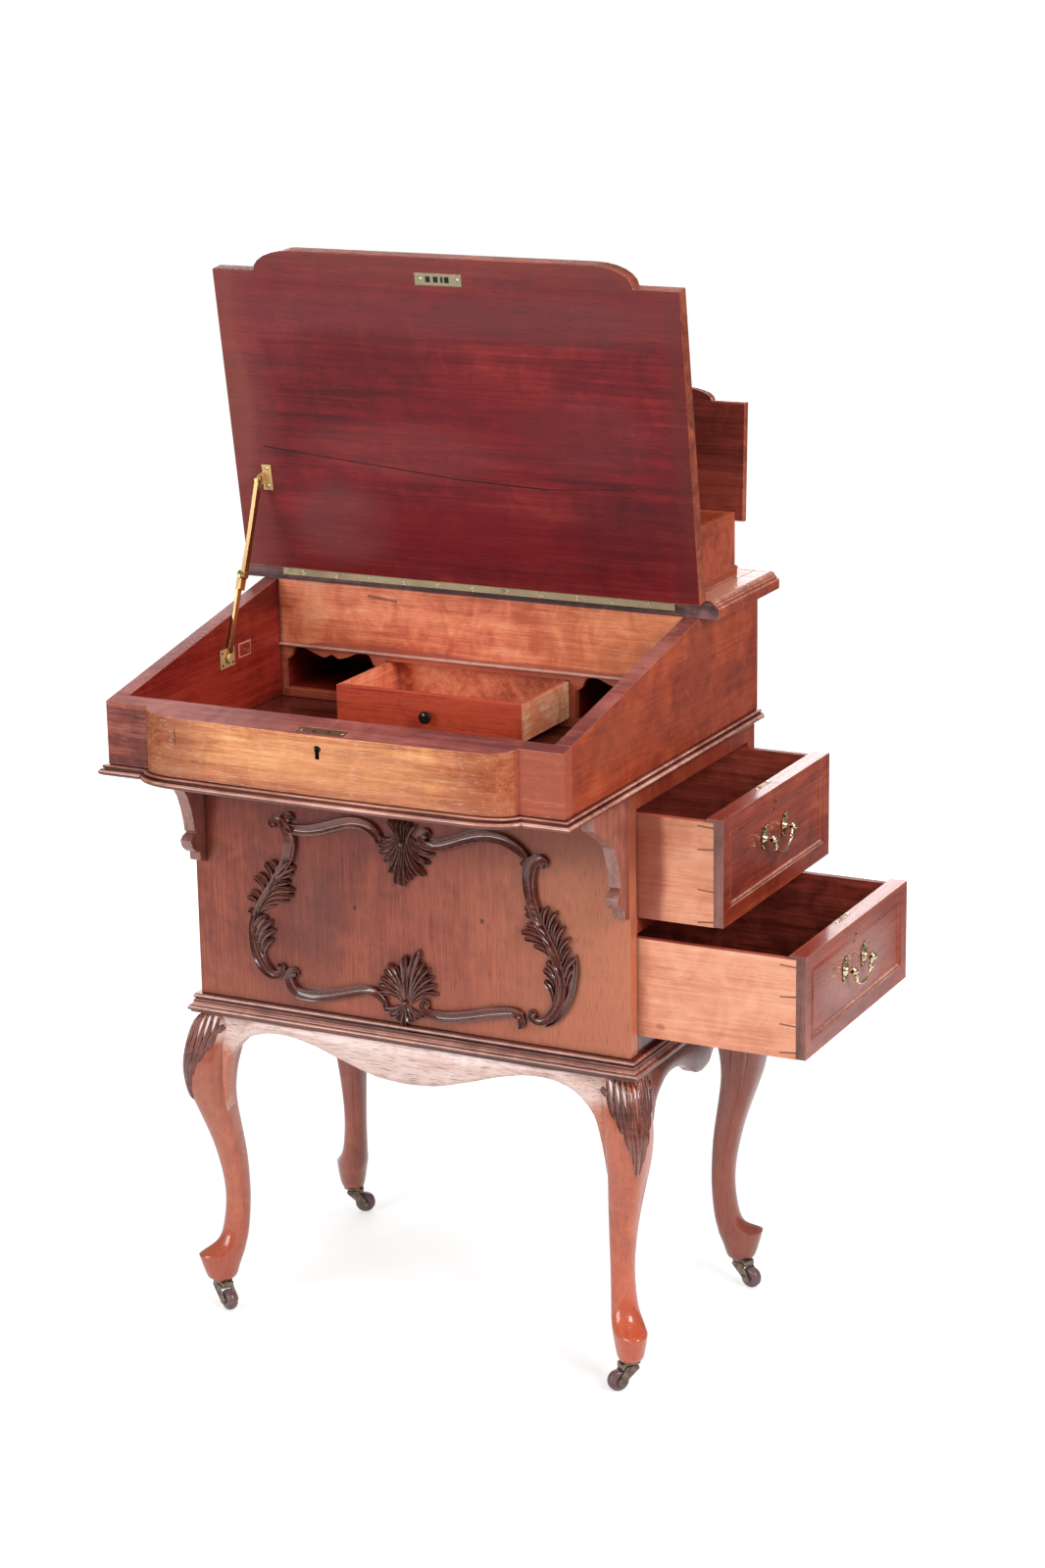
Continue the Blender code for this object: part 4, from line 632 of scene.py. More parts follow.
def eased(t, a, b, c, d):  # a share t of the smooth way from b to c, with a before and d after
    square = 2 * a - 5 * b + 4 * c - d
    cube = 3 * b - a - 3 * c + d
    return b + ((c - a) * t + square * t * t + cube * t ** 3) / 2


def smoothLine(stations, steps=6):  # a curve through stations, which hold a place and any sizes
    line = []
    last = len(stations) - 1
    for i in range(last):
        around = [stations[max(min(k, last), 0)] for k in (i - 1, i, i + 1, i + 2)]
        for step in range(steps):
            line.append([eased(step / steps, *values) for values in zip(*around)])
    line.append(list(stations[last]))
    return line


def seat(place, ahead, up, width, height):  # the matrix that sets a profile at a place
    ahead = ahead.normalized()
    across = ahead.cross(up).normalized()
    made = Matrix((across * width, ahead, across.cross(ahead) * height)).transposed().to_4x4()
    made.translation = place
    return made


def sweep(bm, profile, seats, closed=False):  # a profile extruded from seat to seat
    verts = [bm.verts.new(seats[0] @ Vector((x, 0, z))) for x, z in profile]
    edges = [bm.edges.new(pair) for pair in zip(verts, verts[1:] + verts[:1])]
    if not closed:
        bmesh.ops.contextual_create(bm, geom=edges)
    for before, after in zip(seats, seats[1:]):
        grown = bmesh.ops.extrude_edge_only(bm, edges=edges)["geom"]
        moved = [item for item in grown if isinstance(item, bmesh.types.BMVert)]
        edges = [item for item in grown if isinstance(item, bmesh.types.BMEdge)]
        edges = [edge for edge in edges if edge.verts[0] in moved and edge.verts[1] in moved]
        bmesh.ops.transform(bm, matrix=after @ before.inverted(), verts=moved)
    if not closed:
        bmesh.ops.contextual_create(bm, geom=edges)


def seatsAlong(places, ups, widths, heights):
    made = []
    for i, place in enumerate(places):
        ahead = places[min(i + 1, len(places) - 1)] - places[max(i - 1, 0)]
        made.append(seat(place, ahead, ups[i], widths[i], heights[i]))
    return made


def mitred(places, up, closed=False):  # seats in millimetres, mitred at each corner
    made = []
    last = len(places) - 1
    for i, place in enumerate(places):
        before = places[i - 1] if i or closed else 2 * place - places[1]
        after = places[(i + 1) % len(places)] if i < last or closed else 2 * place - places[i - 1]
        goes = (after - place).normalized()
        ahead = ((place - before).normalized() + goes).normalized()
        made.append(seat(place, ahead, up, 0.001 / max(ahead.dot(goes), 0.3), 0.001))
    return made + made[:1] if closed else made


def mould(bm, line, profile, level):  # a moulding run along a plan line, its profile in millimetres
    sweep(bm, profile, mitred([Vector((x, y, level)) for x, y in line], skyward))


def slab(bm, plan, low, high):  # a board with a given plan
    seats = [Matrix(((1, 0, 0, 0), (0, 0, 1, 0), (0, 1, 0, level), (0, 0, 0, 1))) for level in (low, high)]
    sweep(bm, plan, seats)


def block(bm, low, high):
    middle = [(a + b) / 2 for a, b in zip(low, high)]
    bar(bm, Matrix.Translation(middle), [b - a for a, b in zip(low, high)])


def facing(place, out):  # a matrix at a place, its Z along out
    return Matrix.Translation(place) @ Vector(out).to_track_quat("Z", "Y").to_matrix().to_4x4()


def disc(bm, place, out, radius, top, thick, segments=20):
    matrix = facing(Vector(place) + Vector(out).normalized() * thick / 2, out)
    size = {"radius1": radius, "radius2": top, "depth": thick}
    bmesh.ops.create_cone(bm, cap_ends=True, segments=segments, matrix=matrix, **size)


def bar(bm, matrix, size):  # a box set by a matrix, with its three sizes
    return bmesh.ops.create_cube(bm, size=1, matrix=matrix @ Matrix.Diagonal((*size, 1)))["verts"]


def cadCopy(name, flat=1.0):
    bm = bmesh.new()
    bm.from_mesh(frame["nodes"][name].data)
    bmesh.ops.remove_doubles(bm, verts=bm.verts, dist=1e-5)
    if flat:
        bmesh.ops.dissolve_limit(bm, angle_limit=math.radians(flat), verts=bm.verts, edges=bm.edges)
    bmesh.ops.recalc_face_normals(bm, faces=bm.faces)
    return bm


def paint(bm, tests):  # finish 1, 2 and on, for the faces that pass each test of centre and normal
    for face in bm.faces:
        for i, test in enumerate(tests, 1):
            if test(face.calc_center_median(), face.normal):
                face.material_index = i


def softened(name, finish, edge=0.0007, sharp=38, segments=2, tests=()):
    bm = cadCopy(name)
    paint(bm, tests)
    settle(name + "_wood", bm, finish, bodyOf[name], (name,), edge, segments, sharp=sharp)


screwHead = {
    "thick": 0.0007,
    "narrows": 0.8,
    "slotLevel": 0.00062,
    "slot": (1.6, 0.2, 0.0003),  # length and width as shares of the radius, depth in metres
    "turns": (0.6, 1.9),         # the first slot's turn, and what each next one adds
}


def screws(name, body, places, out, radius, proud=screwHead["thick"]):
    bm = bmesh.new()
    out = Vector(out).normalized()
    length, width, depth = screwHead["slot"]
    first, more = screwHead["turns"]
    for i, place in enumerate(places):
        place = Vector(place) + out * (proud - screwHead["thick"])
        disc(bm, place, out, radius, radius * screwHead["narrows"], screwHead["thick"])
        turned = facing(place + out * screwHead["slotLevel"], out) @ Matrix.Rotation(
            first + i * more, 4, "Z",
        )
        for vert in bar(bm, turned, (radius * length, radius * width, depth)):
            for face in vert.link_faces:
                face.material_index = 1
    settle(name, bm, ["screwBrass", "shadow"], body, merge=1e-7)


# boards that keep the frame's shape, with softened arrises

def upward(centre, normal):
    return normal.z > 0.7


def inward(centre, normal):  # the inner faces of the writing box's sides
    return normal.x * centre.x < -0.1


def lidBack(centre, normal):
    return normal.y > 0.9


def lidEdge(centre, normal):
    return abs(normal.y) < 0.9


def beadTop(centre, normal):  # the crests of a moulding, that catch the light
    return 0.28 < normal.z < 0.93 and (abs(centre.x) > 0.27 or centre.y < 0.16)


def towardsRoom(centre, normal):
    return normal.y < -0.35


def drawerNose(centre, normal):  # the small drawer's front board
    return centre.y < 0.2443


def drawerEnd(centre, normal):  # its right side
    return normal.x > 0.7 and centre.x > 0.1


def tray(name):  # the inside of a drawer's box
    low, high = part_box(name)
    return lambda centre, normal: low.y + 0.005 < centre.y < high.y - 0.005


boards = {
    "carcass_left": [["side", "topFaceGlare", "wellRed"], 0.0008, (upward, inward)],
    "carcass_right": [["side", "topFaceGlare", "wellRed"], 0.0008, (upward, inward)],
    "carcass_back": ["pedestal", 0.0006, ()],
    "well_board": ["well", 0.0005, ()],
    "well_bead": ["apron", 0.0, ()],
    "pigeonhole_case": ["wellRed", 0.0004, ()],
    "pedestal_front": ["panel", 0.0007, ()],
    "pedestal_left": ["pedestal", 0.0007, ()],
    "pedestal_back": ["pedestal", 0.0007, ()],
    "pedestal_top": ["pedestal", 0.0005, ()],
    "pedestal_divider": ["pedestal", 0.0005, ()],
    "bracket_left": [["bracket", "bracketGlareFace"], 0.0007, (towardsRoom,)],
    "bracket_right": [["bracket", "bracketGlareFace"], 0.0007, (towardsRoom,)],
    "writing_lid": [["lidInside", "lidOutside", "lidEdge"], 0.0012, (lidBack, lidEdge)],
    "stationery_lid": [["stationeryInside", "lidOutside", "lidEdge"], 0.0006, (lidBack, lidEdge)],
    "inner_drawer": [["innerDrawer", "innerFront", "innerEndLit"], 0.0005, (drawerNose, drawerEnd)],
    "upper_drawer_box": [["upperSide", "drawerInside"], 0.0005, (tray("upper_drawer_box"),)],
    "lower_drawer_box": [["lowerSide", "drawerInside"], 0.0005, (tray("lower_drawer_box"),)],
}
for name, (finish, edge, tests) in boards.items():
    softened(name, finish, edge, tests=tests)
print("boards dressed:", len(boards))


keyholeReach = {"around": 0.0095, "aside": 0.0035}


def openKeyhole(bm, centre, axis, spread, drop):  # a keyhole as wide as the worn one
    near = [vert for vert in bm.verts if (vert.co - centre).length < keyholeReach["around"]]
    near = [vert for vert in near if abs(vert.co[axis] - centre[axis]) < keyholeReach["aside"]]
    size = Vector((1, 1, drop))
    size[axis] = spread
    bmesh.ops.translate(bm, vec=-centre, verts=near)
    bmesh.ops.scale(bm, vec=size, verts=near)
    bmesh.ops.translate(bm, vec=centre, verts=near)


railLook = {
    "keyhole": Vector((0, -0.0215, 0.7512)),
    "widened": (2.05, 1.5),
    "flatFrom": 0.2215,
    "holeDark": (0.004, 0.751, 0.009, -0.0222),  # half width, level, half height, behind
    "edge": 0.0008,
    "finish": ["bow", "topFaceGlare", "flat", "shadow"],
}


def railFlat(centre, normal):
    return abs(centre.x) > railLook["flatFrom"] and normal.z < 0.5


def railHole(centre, normal):
    wide, level, tall, behind = railLook["holeDark"]
    return abs(centre.x) < wide and abs(centre.z - level) < tall and centre.y > behind


bm = cadCopy("front_rail")
openKeyhole(bm, railLook["keyhole"], 0, *railLook["widened"])
paint(bm, (upward, railFlat, railHole))
settle("front_rail_wood", bm, railLook["finish"], replaced=("front_rail",), edge=railLook["edge"])


# mouldings: a profile is (out, up) in millimetres from the face it stands on

def breakLine(half, front, middle, quarter, reach, bow, steps=14):  # the breakfront's plan
    left = [(-half, front)]
    for i in range(steps + 1):
        turn = math.pi / 2 * i / steps
        left.append((-middle + quarter * (1 - math.cos(turn)), front - reach * math.sin(turn)))
    flat = middle - quarter
    for i in range(1, 7):
        left.append((-flat * (1 - i / 6), front - reach - bow * (1 - (1 - i / 6) ** 2)))
    return left + [(-x, y) for x, y in reversed(left[:-1])]


mouldings = {
    "floor": [
        (-6, 11.5), (3.6, 11.5), (4.6, 11.1), (5.2, 10.2), (5.2, 9.3), (4.7, 8.5), (3.8, 8.0), (3.8, 7.5),
        (5.6, 7.3), (7.2, 6.7), (8.4, 5.5), (8.9, 4.0), (8.6, 2.5), (7.6, 1.3), (6.2, 0.6), (5.4, 0.5),
        (5.4, 0), (-6, 0),
    ],
    "base": [
        (-6, 21.5), (4.6, 21.5), (5.8, 21.2), (6.9, 20.2), (7.4, 18.8), (7.0, 17.4), (6.0, 16.4),
        (5.0, 16.0), (5.0, 15.2), (6.4, 15.0), (7.0, 14.3), (6.8, 13.5), (7.2, 11.6), (8.2, 9.9), (9.6, 8.8),
        (9.6, 8.1), (10.8, 7.9), (12.0, 7.0), (12.5, 5.5), (12.2, 3.8), (11.2, 2.6), (9.8, 2.0), (9.6, 1.6),
        (9.6, 0), (-6, 0),
    ],
    "shelf": [
        (-6, 0.3), (21.4, 0), (22.9, 0.7), (23.5, 2.2), (23.5, 11.2), (23.1, 12.0), (22.2, 12.5),
        (20.6, 12.6), (20.6, 13.2), (20.2, 14.6), (19.0, 15.6), (17.9, 15.8), (17.9, 16.4), (17.4, 17.9),
        (16.0, 19.0), (14.6, 19.3), (14.0, 19.4), (13.8, 20), (-6, 19.7),
    ],
    "boxFoot": [
        (-1, 13), (0.4, 13), (1.4, 12.9), (2.6, 12.2), (3.1, 11.1), (3.1, 10.2), (2.6, 9.1), (1.6, 8.5),
        (-1, 8.4),
    ],
    "drawerBeads": [
        (-0.5, -2.4), (-0.5, 0.1), (-0.2, 0.6), (0.5, 1.0), (1.3, 0.8), (1.8, 0.1), (1.9, -0.8), (2.3, -0.9),
        (2.6, -0.4), (3.3, 0.1), (4.1, -0.1), (4.7, -0.8), (5.1, -1.5), (5.7, -1.9), (5.7, -2.4),
    ],
}


def finishMoulding(name, part, bm, finish=("moulding", "gleam"), tests=(beadTop,)):
    bmesh.ops.recalc_face_normals(bm, faces=bm.faces)
    paint(bm, tests)
    settle(name, bm, list(finish), replaced=(part,), sharp=30)


floorLook = {
    "plan": {"half": 0.275, "front": 0.0, "middle": 0.2226, "quarter": 0.0434, "reach": 0.020, "bow": 0.003},
    "ends": [(0.275, 0.498), (-0.275, 0.498)],  # the back corners
    "board": (0.69095, 0.7023),
    "moulding": 0.6909,
}
floorLine = breakLine(**floorLook["plan"])
bm = bmesh.new()
slab(bm, floorLine + floorLook["ends"], *floorLook["board"])
mould(
    bm, floorLook["ends"][1:] + floorLine + floorLook["ends"][:1], mouldings["floor"], floorLook["moulding"],
)
finishMoulding("carcass_floor_moulding", "carcass_floor", bm)

baseLook = {
    "line": [(-0.2715, 0.498), (-0.2715, 0.160), (0.2715, 0.160), (0.2715, 0.498)],
    "moulding": 0.3693,
    "coreTop": 0.3909,
    "core": ((0, -0.2765, 0.2765), (1, 0.155, 0.498)),  # below its top, the base keeps within these
}
bm = cadCopy("pedestal_base")
core = [vert for vert in bm.verts if vert.co.z < baseLook["coreTop"]]
for axis, low, high in baseLook["core"]:
    for vert in core:
        vert.co[axis] = min(max(vert.co[axis], low), high)
mould(bm, baseLook["line"], mouldings["base"], baseLook["moulding"])
finishMoulding("pedestal_base_moulding", "pedestal_base", bm)

shelfLook = {
    "cutAt": 0.2688,
    "lines": ([(0.275, 0.335), (0.275, 0.504)], [(-0.275, 0.504), (-0.275, 0.335)]),
    "finish": ("stationery", "shelfFront", "gleam"),
}


def shelfNose(centre, normal):
    return normal.y < -0.9


bm = cadCopy("shelf")
for side in (-1, 1):
    geom = bm.verts[:] + bm.edges[:] + bm.faces[:]
    plane = {"plane_co": (side * shelfLook["cutAt"], 0, 0), "plane_no": (side, 0, 0)}
    cut = bmesh.ops.bisect_plane(bm, geom=geom, dist=1e-6, clear_outer=True, **plane)["geom_cut"]
    bmesh.ops.contextual_create(bm, geom=[item for item in cut if isinstance(item, bmesh.types.BMEdge)])
for line in shelfLook["lines"]:
    mould(bm, line, mouldings["shelf"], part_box("shelf")[0].z)
finishMoulding("shelf_wood", "shelf", bm, shelfLook["finish"], (shelfNose, beadTop))

boxLook = {
    "plan": {"half": 0.262, "front": 0.352, "middle": 0.2226, "quarter": 0.030, "reach": 0.014, "bow": 0.0},
    "ends": ([(-0.262, 0.4625)], [(0.262, 0.4625)]),
}
bm = cadCopy("stationery_case")
boxLine = boxLook["ends"][0] + breakLine(**boxLook["plan"]) + boxLook["ends"][1]
mould(bm, boxLine, mouldings["boxFoot"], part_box("stationery_case")[0].z)
settle("stationery_case_wood", bm, "stationery", replaced=("stationery_case",), sharp=30)
print("mouldings run:", len(mouldings))


# drawer fronts, with a beaded frame, a let-in lock and a wide keyhole

drawerLook = {
    "keyhole": Vector((-0.002, -0.007, -0.019)),  # from the face's top edge, at its middle
    "widened": (1.35, 1.2),
    "holeDark": (0.0035, 0.007, 0.0021),          # half width, half height, depth
    "edge": 0.0007,
    "beadInset": 0.0175,
    "lockPlate": ((-0.0197, -0.0195, -0.0009), (-0.0125, 0.0195, 0.0001)),
    "lockScrews": (-0.016, 0.0155, 0.00005, 0.0022),  # back, aside, up, radius
}


def drawerFace(name):
    front = name + "_front"
    body = bodyOf[front]
    low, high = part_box(front)
    top = Vector((high.x, (low.y + high.y) / 2, high.z))
    hole = top + drawerLook["keyhole"]
    wide, tall, deep = drawerLook["holeDark"]

    def leftEnd(centre, normal):
        return normal.y < -0.9 and centre.y < low.y + 0.001

    def insideHole(centre, normal):
        return abs(centre.y - hole.y) < wide and abs(centre.z - hole.z) < tall and centre.x < high.x - deep

    def footBead(centre, normal):
        return normal.z > 0.35 and centre.z < (low.z + high.z) / 2

    def shadedBead(centre, normal):
        return normal.y > 0.35

    bm = cadCopy(front)
    openKeyhole(bm, hole, 1, *drawerLook["widened"])
    paint(bm, (leftEnd, insideHole))
    settle(
        front + "_wood", bm, ["drawerFront", "endGrain", "shadow"], body, (front,),
        drawerLook["edge"],
    )

    inset = drawerLook["beadInset"]
    near, far = low.y + inset, high.y - inset
    foot, head = low.z + inset, high.z - inset
    places = [Vector((high.x, y, z)) for y, z in ((near, foot), (near, head), (far, head), (far, foot))]
    bm = bmesh.new()
    sweep(bm, mouldings["drawerBeads"], mitred(places, rightward, True), True)
    bmesh.ops.recalc_face_normals(bm, faces=bm.faces)
    paint(bm, (footBead, shadedBead))
    settle(name + "_beads", bm, ["drawerFront", "gleam", "moulding"], body, sharp=50)

    bm = bmesh.new()
    edge = Vector((high.x, hole.y, high.z))
    block(bm, *[edge + Vector(corner) for corner in drawerLook["lockPlate"]])
    settle(name + "_lock_plate", bm, "lockBrass", body, edge=0.0001)
    back, aside, up, radius = drawerLook["lockScrews"]
    spots = [edge + Vector((back, side * aside, up)) for side in (-1, 1)]
    screws(name + "_lock_screws", body, spots, skyward, radius)


for name in ("upper_drawer", "lower_drawer"):
    drawerFace(name)


# brass: hinge, locks and stay

plates = {
    "rail_lock": "lockBrass",
    "lid_strike": "agedBrass",
    "hinge_leaf_shelf": ["agedBrass", "hingeBrass"],
    "hinge_leaf_lid": "hingeBrass",
    "stay_plate": "plateBrass",
    "stay_bracket": "plateBrass",
}
hingeLook = {
    "knuckles": (0.247, 0.0449),  # from the middle to the first, and the length of each
    "screws": (-0.2198, 0.0436, 11),
    "front": 0.3337,
    "levels": (0.852, 0.8508),
    "radius": 0.003,
}
flush = 0.0002  # how far a let-in screw stands proud


def darkKnuckle(centre, normal):
    reach, length = hingeLook["knuckles"]
    return int((centre.x + reach) / length) % 2


for name, finish in plates.items():
    softened(name, finish, 0.0002, tests=(darkKnuckle,) if name == "hinge_leaf_shelf" else ())
first, step, count = hingeLook["screws"]
places = [(first + step * i, hingeLook["front"], hingeLook["levels"][i % 2]) for i in range(count)]
screws("hinge_screws", "cabinet", places, -backward, hingeLook["radius"], flush)


def inRow(centre, row):  # places to the left and right of a centre
    return [centre + rightward * x for x in row]


lockLook = {
    "lean": math.radians(11.6),  # the rail's top slopes to the front
    "behind": -0.01225,
    "level": 0.7732,
    "sunk": 0.0003,
    "screws": (-0.0245, 0.0245),
    "screwRadius": 0.0024,
    "holes": (-0.0085, 0.0085),
    "hole": (0.0021, 0.0021, 0.0001),
}
railUp = Vector((0, -math.sin(lockLook["lean"]), math.cos(lockLook["lean"])))
level = lockLook["level"] + lockLook["behind"] * math.tan(lockLook["lean"])
plateCentre = Vector((0, lockLook["behind"], level)) - railUp * lockLook["sunk"]
places = inRow(plateCentre, lockLook["screws"])
screws("rail_lock_screws", "cabinet", places, railUp, lockLook["screwRadius"], flush)
bm = bmesh.new()
for place in inRow(plateCentre, lockLook["holes"]):
    disc(bm, place, railUp, *lockLook["hole"])
settle("rail_lock_holes", bm, "shadow", "cabinet")

lidFace = {
    "out": Vector((0, -0.98901, -0.14781)),
    "up": Vector((0, -0.14781, 0.98901)),
    "foot": (0.31668, 0.85647),  # a point of the open lid's inner face
}
strikeLook = {
    "rise": 0.0001,
    "screws": (-0.0225, 0.0225),
    "screwRadius": 0.0024,
    "holes": ((-0.0125, 0.005), (-0.003, 0.005), (0.0045, 0.0022), (0.0105, 0.005)),  # place, width
    "hole": (0.0062, 0.0003),
}


def onLid(x, level, rise):  # a place at a level, so far out of the open lid's inner face
    y, z = lidFace["foot"]
    return Vector((x, y, z)) + lidFace["up"] * ((level - z) / lidFace["up"].z) + lidFace["out"] * rise


low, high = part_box("lid_strike")
strikeCentre = onLid(0, (low.z + high.z) / 2, strikeLook["rise"])
places = inRow(strikeCentre, strikeLook["screws"])
screws("strike_screws", "writing_lid", places, lidFace["out"], strikeLook["screwRadius"], flush)
bm = bmesh.new()
for x, wide in strikeLook["holes"]:
    bar(bm, facing(strikeCentre + rightward * x, lidFace["out"]), (wide, *strikeLook["hole"]))
settle("strike_holes", bm, "shadow", "writing_lid")

stay = {
    "wall": Vector((-0.2531, 0.2178, 0.7737)),
    "knuckle": Vector((-0.2518, 0.25146, 0.86329)),
    "lid": Vector((-0.2506, 0.28994, 0.96572)),
    "broader": 0.3,
    "thickAfter": 0.03,  # thin beside the wall plate
    "wallHead": (0.0011, (0.0058, 0.0046, 0.0022, 28)),  # how far right, then the disc's sizes
    "knuckleHead": (-0.0041, (0.0052, 0.0052, 0.0097, 28)),
    "lidHead": (0.0036, (0.0046, 0.0036, 0.0016, 24)),
    "sleeve": (0.0064, 0.0105, 0.013),
    "sleeveBack": 0.011,
    "plateScrews": (0.0012, 0.004, 0.0022, 0.0001),  # right, inset, radius, proud
    "bracketScrews": (-0.2432, (0.9575, 0.9775), 0.0018, 0.0024),  # across, levels, rise, radius
}


def stayArm(name, start, end, side, thick):  # the flat bar, broader, and thicker on one side
    bm = cadCopy(name)
    across = (end - start).normalized().cross(rightward).normalized()
    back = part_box(name)[0 if side > 0 else 1].x
    for vert in bm.verts:
        vert.co += across * stay["broader"] * (vert.co - start).dot(across)
        if abs(vert.co.x - back) > 0.001 and (vert.co - stay["wall"]).length > stay["thickAfter"]:
            vert.co.x = back + side * thick
    settle(name + "_bar", bm, "stayBrass", name, (name,), 0.0007)


def pivotHead(joint):  # the round head of a stay's pivot
    bm = bmesh.new()
    along, sizes = stay[joint + "Head"]
    disc(bm, stay[joint] + rightward * along, rightward, *sizes)
    return bm


stayArm("stay_lower_arm", stay["wall"], stay["knuckle"], -1, 0.0029)
stayArm("stay_upper_arm", stay["knuckle"], stay["lid"], 1, 0.0048)
settle("wall_pivot_head", pivotHead("wall"), "plateBrass", "stay_lower_arm", edge=0.0004)
bm = pivotHead("knuckle")
ahead = (stay["knuckle"] - stay["wall"]).normalized()
bar(bm, facing(stay["knuckle"] - ahead * stay["sleeveBack"], ahead), stay["sleeve"])
settle("stay_knuckle_sleeve", bm, "stayBrass", "stay_lower_arm", edge=0.0006)
settle("lid_pivot_head", pivotHead("lid"), "stayBrass", "stay_upper_arm", edge=0.0003)
low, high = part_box("stay_plate")
along, inset, radius, proud = stay["plateScrews"]
places = [
    (low.x + along, y, z)
    for z in (high.z - inset, low.z + inset) for y in (low.y + inset, high.y - inset)
]
screws("wall_plate_screws", "cabinet", places, rightward, radius, proud)
x, levels, rise, radius = stay["bracketScrews"]
screws("lid_bracket_screws", "writing_lid", [onLid(x, z, rise) for z in levels], lidFace["out"], radius)

oldPlate = {  # where an earlier wall plate has left its outline and three holes
    "frame": ((-0.2561, 0.2440, 0.7672), (-0.25585, 0.2700, 0.7840)),
    "mark": ((-0.2560, 0.2455, 0.7687), (-0.2558, 0.2685, 0.7825)),
    "holes": ((-0.2558, 0.250, 0.7790), (-0.2558, 0.257, 0.7756), (-0.2558, 0.264, 0.7722)),
    "hole": (0.0019, 0.0019, 0.0001, 12),
}
bm = bmesh.new()
block(bm, *oldPlate["frame"])
settle("old_plate_frame", bm, "gleam", edge=0.0001)
bm = bmesh.new()
block(bm, *oldPlate["mark"])
settle("old_plate_mark", bm, "wellRed")
bm = bmesh.new()
for place in oldPlate["holes"]:
    disc(bm, place, rightward, *oldPlate["hole"])
settle("old_plate_holes", bm, "endGrain")
print("brass fitted")


# swan-neck handles on pierced rocaille plates, in millimetres
# a band is (side, height, stations of across, up and width), and an eye is (across, up, radius)
# a finger is (root across, root up, tip across, tip up, bend, width, height)

bandProfile = [
    (-1, 0), (-1, 0.7), (-0.97, 0.95), (-0.88, 1.0), (-0.8, 0.86), (-0.62, 0.5), (-0.3, 0.34), (0.1, 0.44),
    (0.5, 0.72), (0.8, 0.86), (0.96, 0.62), (1, 0),
]
fingerProfile = [
    (-1, 0), (-0.95, 0.45), (-0.7, 0.85), (-0.45, 0.7), (-0.2, 0.52), (0.05, 0.72), (0.35, 1.0), (0.7, 0.9),
    (0.94, 0.5), (1, 0),
]
fluteProfile = [
    (-1, 0), (-0.96, 0.55), (-0.72, 0.95), (-0.45, 0.7), (0, 0.42), (0.45, 0.7), (0.72, 0.95), (0.96, 0.55),
    (1, 0),
]
roundProfile = [(math.cos(math.tau * i / 10), math.sin(math.tau * i / 10)) for i in range(10)]
fingerShares = [
    (0.0, 0.25, 0.35), (0.18, 0.55, 0.55), (0.42, 0.85, 0.75), (0.66, 1.0, 0.92), (0.84, 0.92, 1.0),
    (0.95, 0.62, 0.86), (1.0, 0.2, 0.4),
]


def relief(bm, spec, right, up, origin, wider=(1.0, 1.0)):  # ribbons, leaf fingers and eyes on a plane
    out = right.cross(up)
    for side, high, stations in spec["bands"]:
        line = smoothLine(stations, 5)
        places = [origin + (right * x + up * z) / 1000 for x, z, wide in line]
        widths = [side * wide * wider[0] / 2000 for x, z, wide in line]
        heights = [high / 1000 * min(1, 0.5 + wide / spec.get("fullAt", 20)) for x, z, wide in line]
        sweep(bm, bandProfile, seatsAlong(places, [out] * len(line), widths, heights))
    for rootX, rootZ, tipX, tipZ, bend, wide, high in spec["fingers"]:
        root = (right * rootX + up * rootZ) / 1000
        tip = (right * tipX + up * tipZ) / 1000
        aside = (tip - root).normalized().cross(-out) * bend / 1000
        shares = smoothLine(fingerShares, 2)
        places = [
            root.lerp(tip, along) + aside * (4 * along * (1 - along)) + origin
            for along, w, h in shares
        ]
        widths = [w * wide * wider[1] / 2000 for along, w, h in shares]
        heights = [h * high / 1000 for along, w, h in shares]
        profile = fingerProfile if abs(bend) > 2.2 else fluteProfile
        sweep(bm, profile, seatsAlong(places, [out] * len(shares), widths, heights))
    for x, z, radius in spec["eyes"]:
        place = origin + (right * x + up * z) / 1000 + out * spec.get("eyeRise", 3.8) / 1000
        ball = {"u_segments": 16, "v_segments": 10, "radius": radius / 1000}
        bmesh.ops.create_uvsphere(bm, matrix=Matrix.Translation(place), **ball)


handlePlate = {
    "bands": [
        (1, 2.0, [
            (-1.5, 3.0, 1.6), (-4.0, 4.6, 2.4), (-4.4, 7.8, 2.4), (-1.8, 9.8, 2.0), (0.4, 8.4, 1.4),
            (-0.6, 7.0, 0.8),
        ]),
        (-1, 2.0, [
            (1.0, 2.0, 1.6), (4.6, 3.2, 2.4), (5.4, 6.8, 2.2), (3.6, 10.4, 2.4), (4.6, 13.4, 1.6),
            (6.4, 13.6, 0.8),
        ]),
        (1, 2.0, [(1.5, -2.0, 1.8), (4.6, -3.6, 2.4), (4.4, -7.4, 2.2), (1.2, -8.4, 1.6), (0.6, -6.8, 0.8)]),
        (-1, 1.8, [
            (-1.5, -2.5, 1.8), (-4.8, -4.2, 2.2), (-5.4, -7.8, 2.2), (-3.2, -10.6, 1.6), (-1.6, -9.6, 0.8),
        ]),
    ],
    "fingers": [
        (0, 0, -6.6, 1.4, 0.6, 2.4, 2.0), (0, 0, 6.8, -0.6, -0.6, 2.4, 2.0),
        (-2.6, -8, -6.4, -12.0, 0.8, 2.2, 1.8), (1.8, 9.6, 0.6, 13.6, 0.6, 2.2, 2.0),
    ],
    "eyes": [(0.2, 8.2, 1.1), (0.8, -7.0, 1.1), (6.4, 13.4, 0.9)],
    "eyeRise": 1.2,
    "fullAt": 4,
}
handleLook = {
    "plateSunk": 0.0002,
    "bailBack": 0.0016,
    "wider": (1.35, 1.3),  # the plate's bands and fingers
}
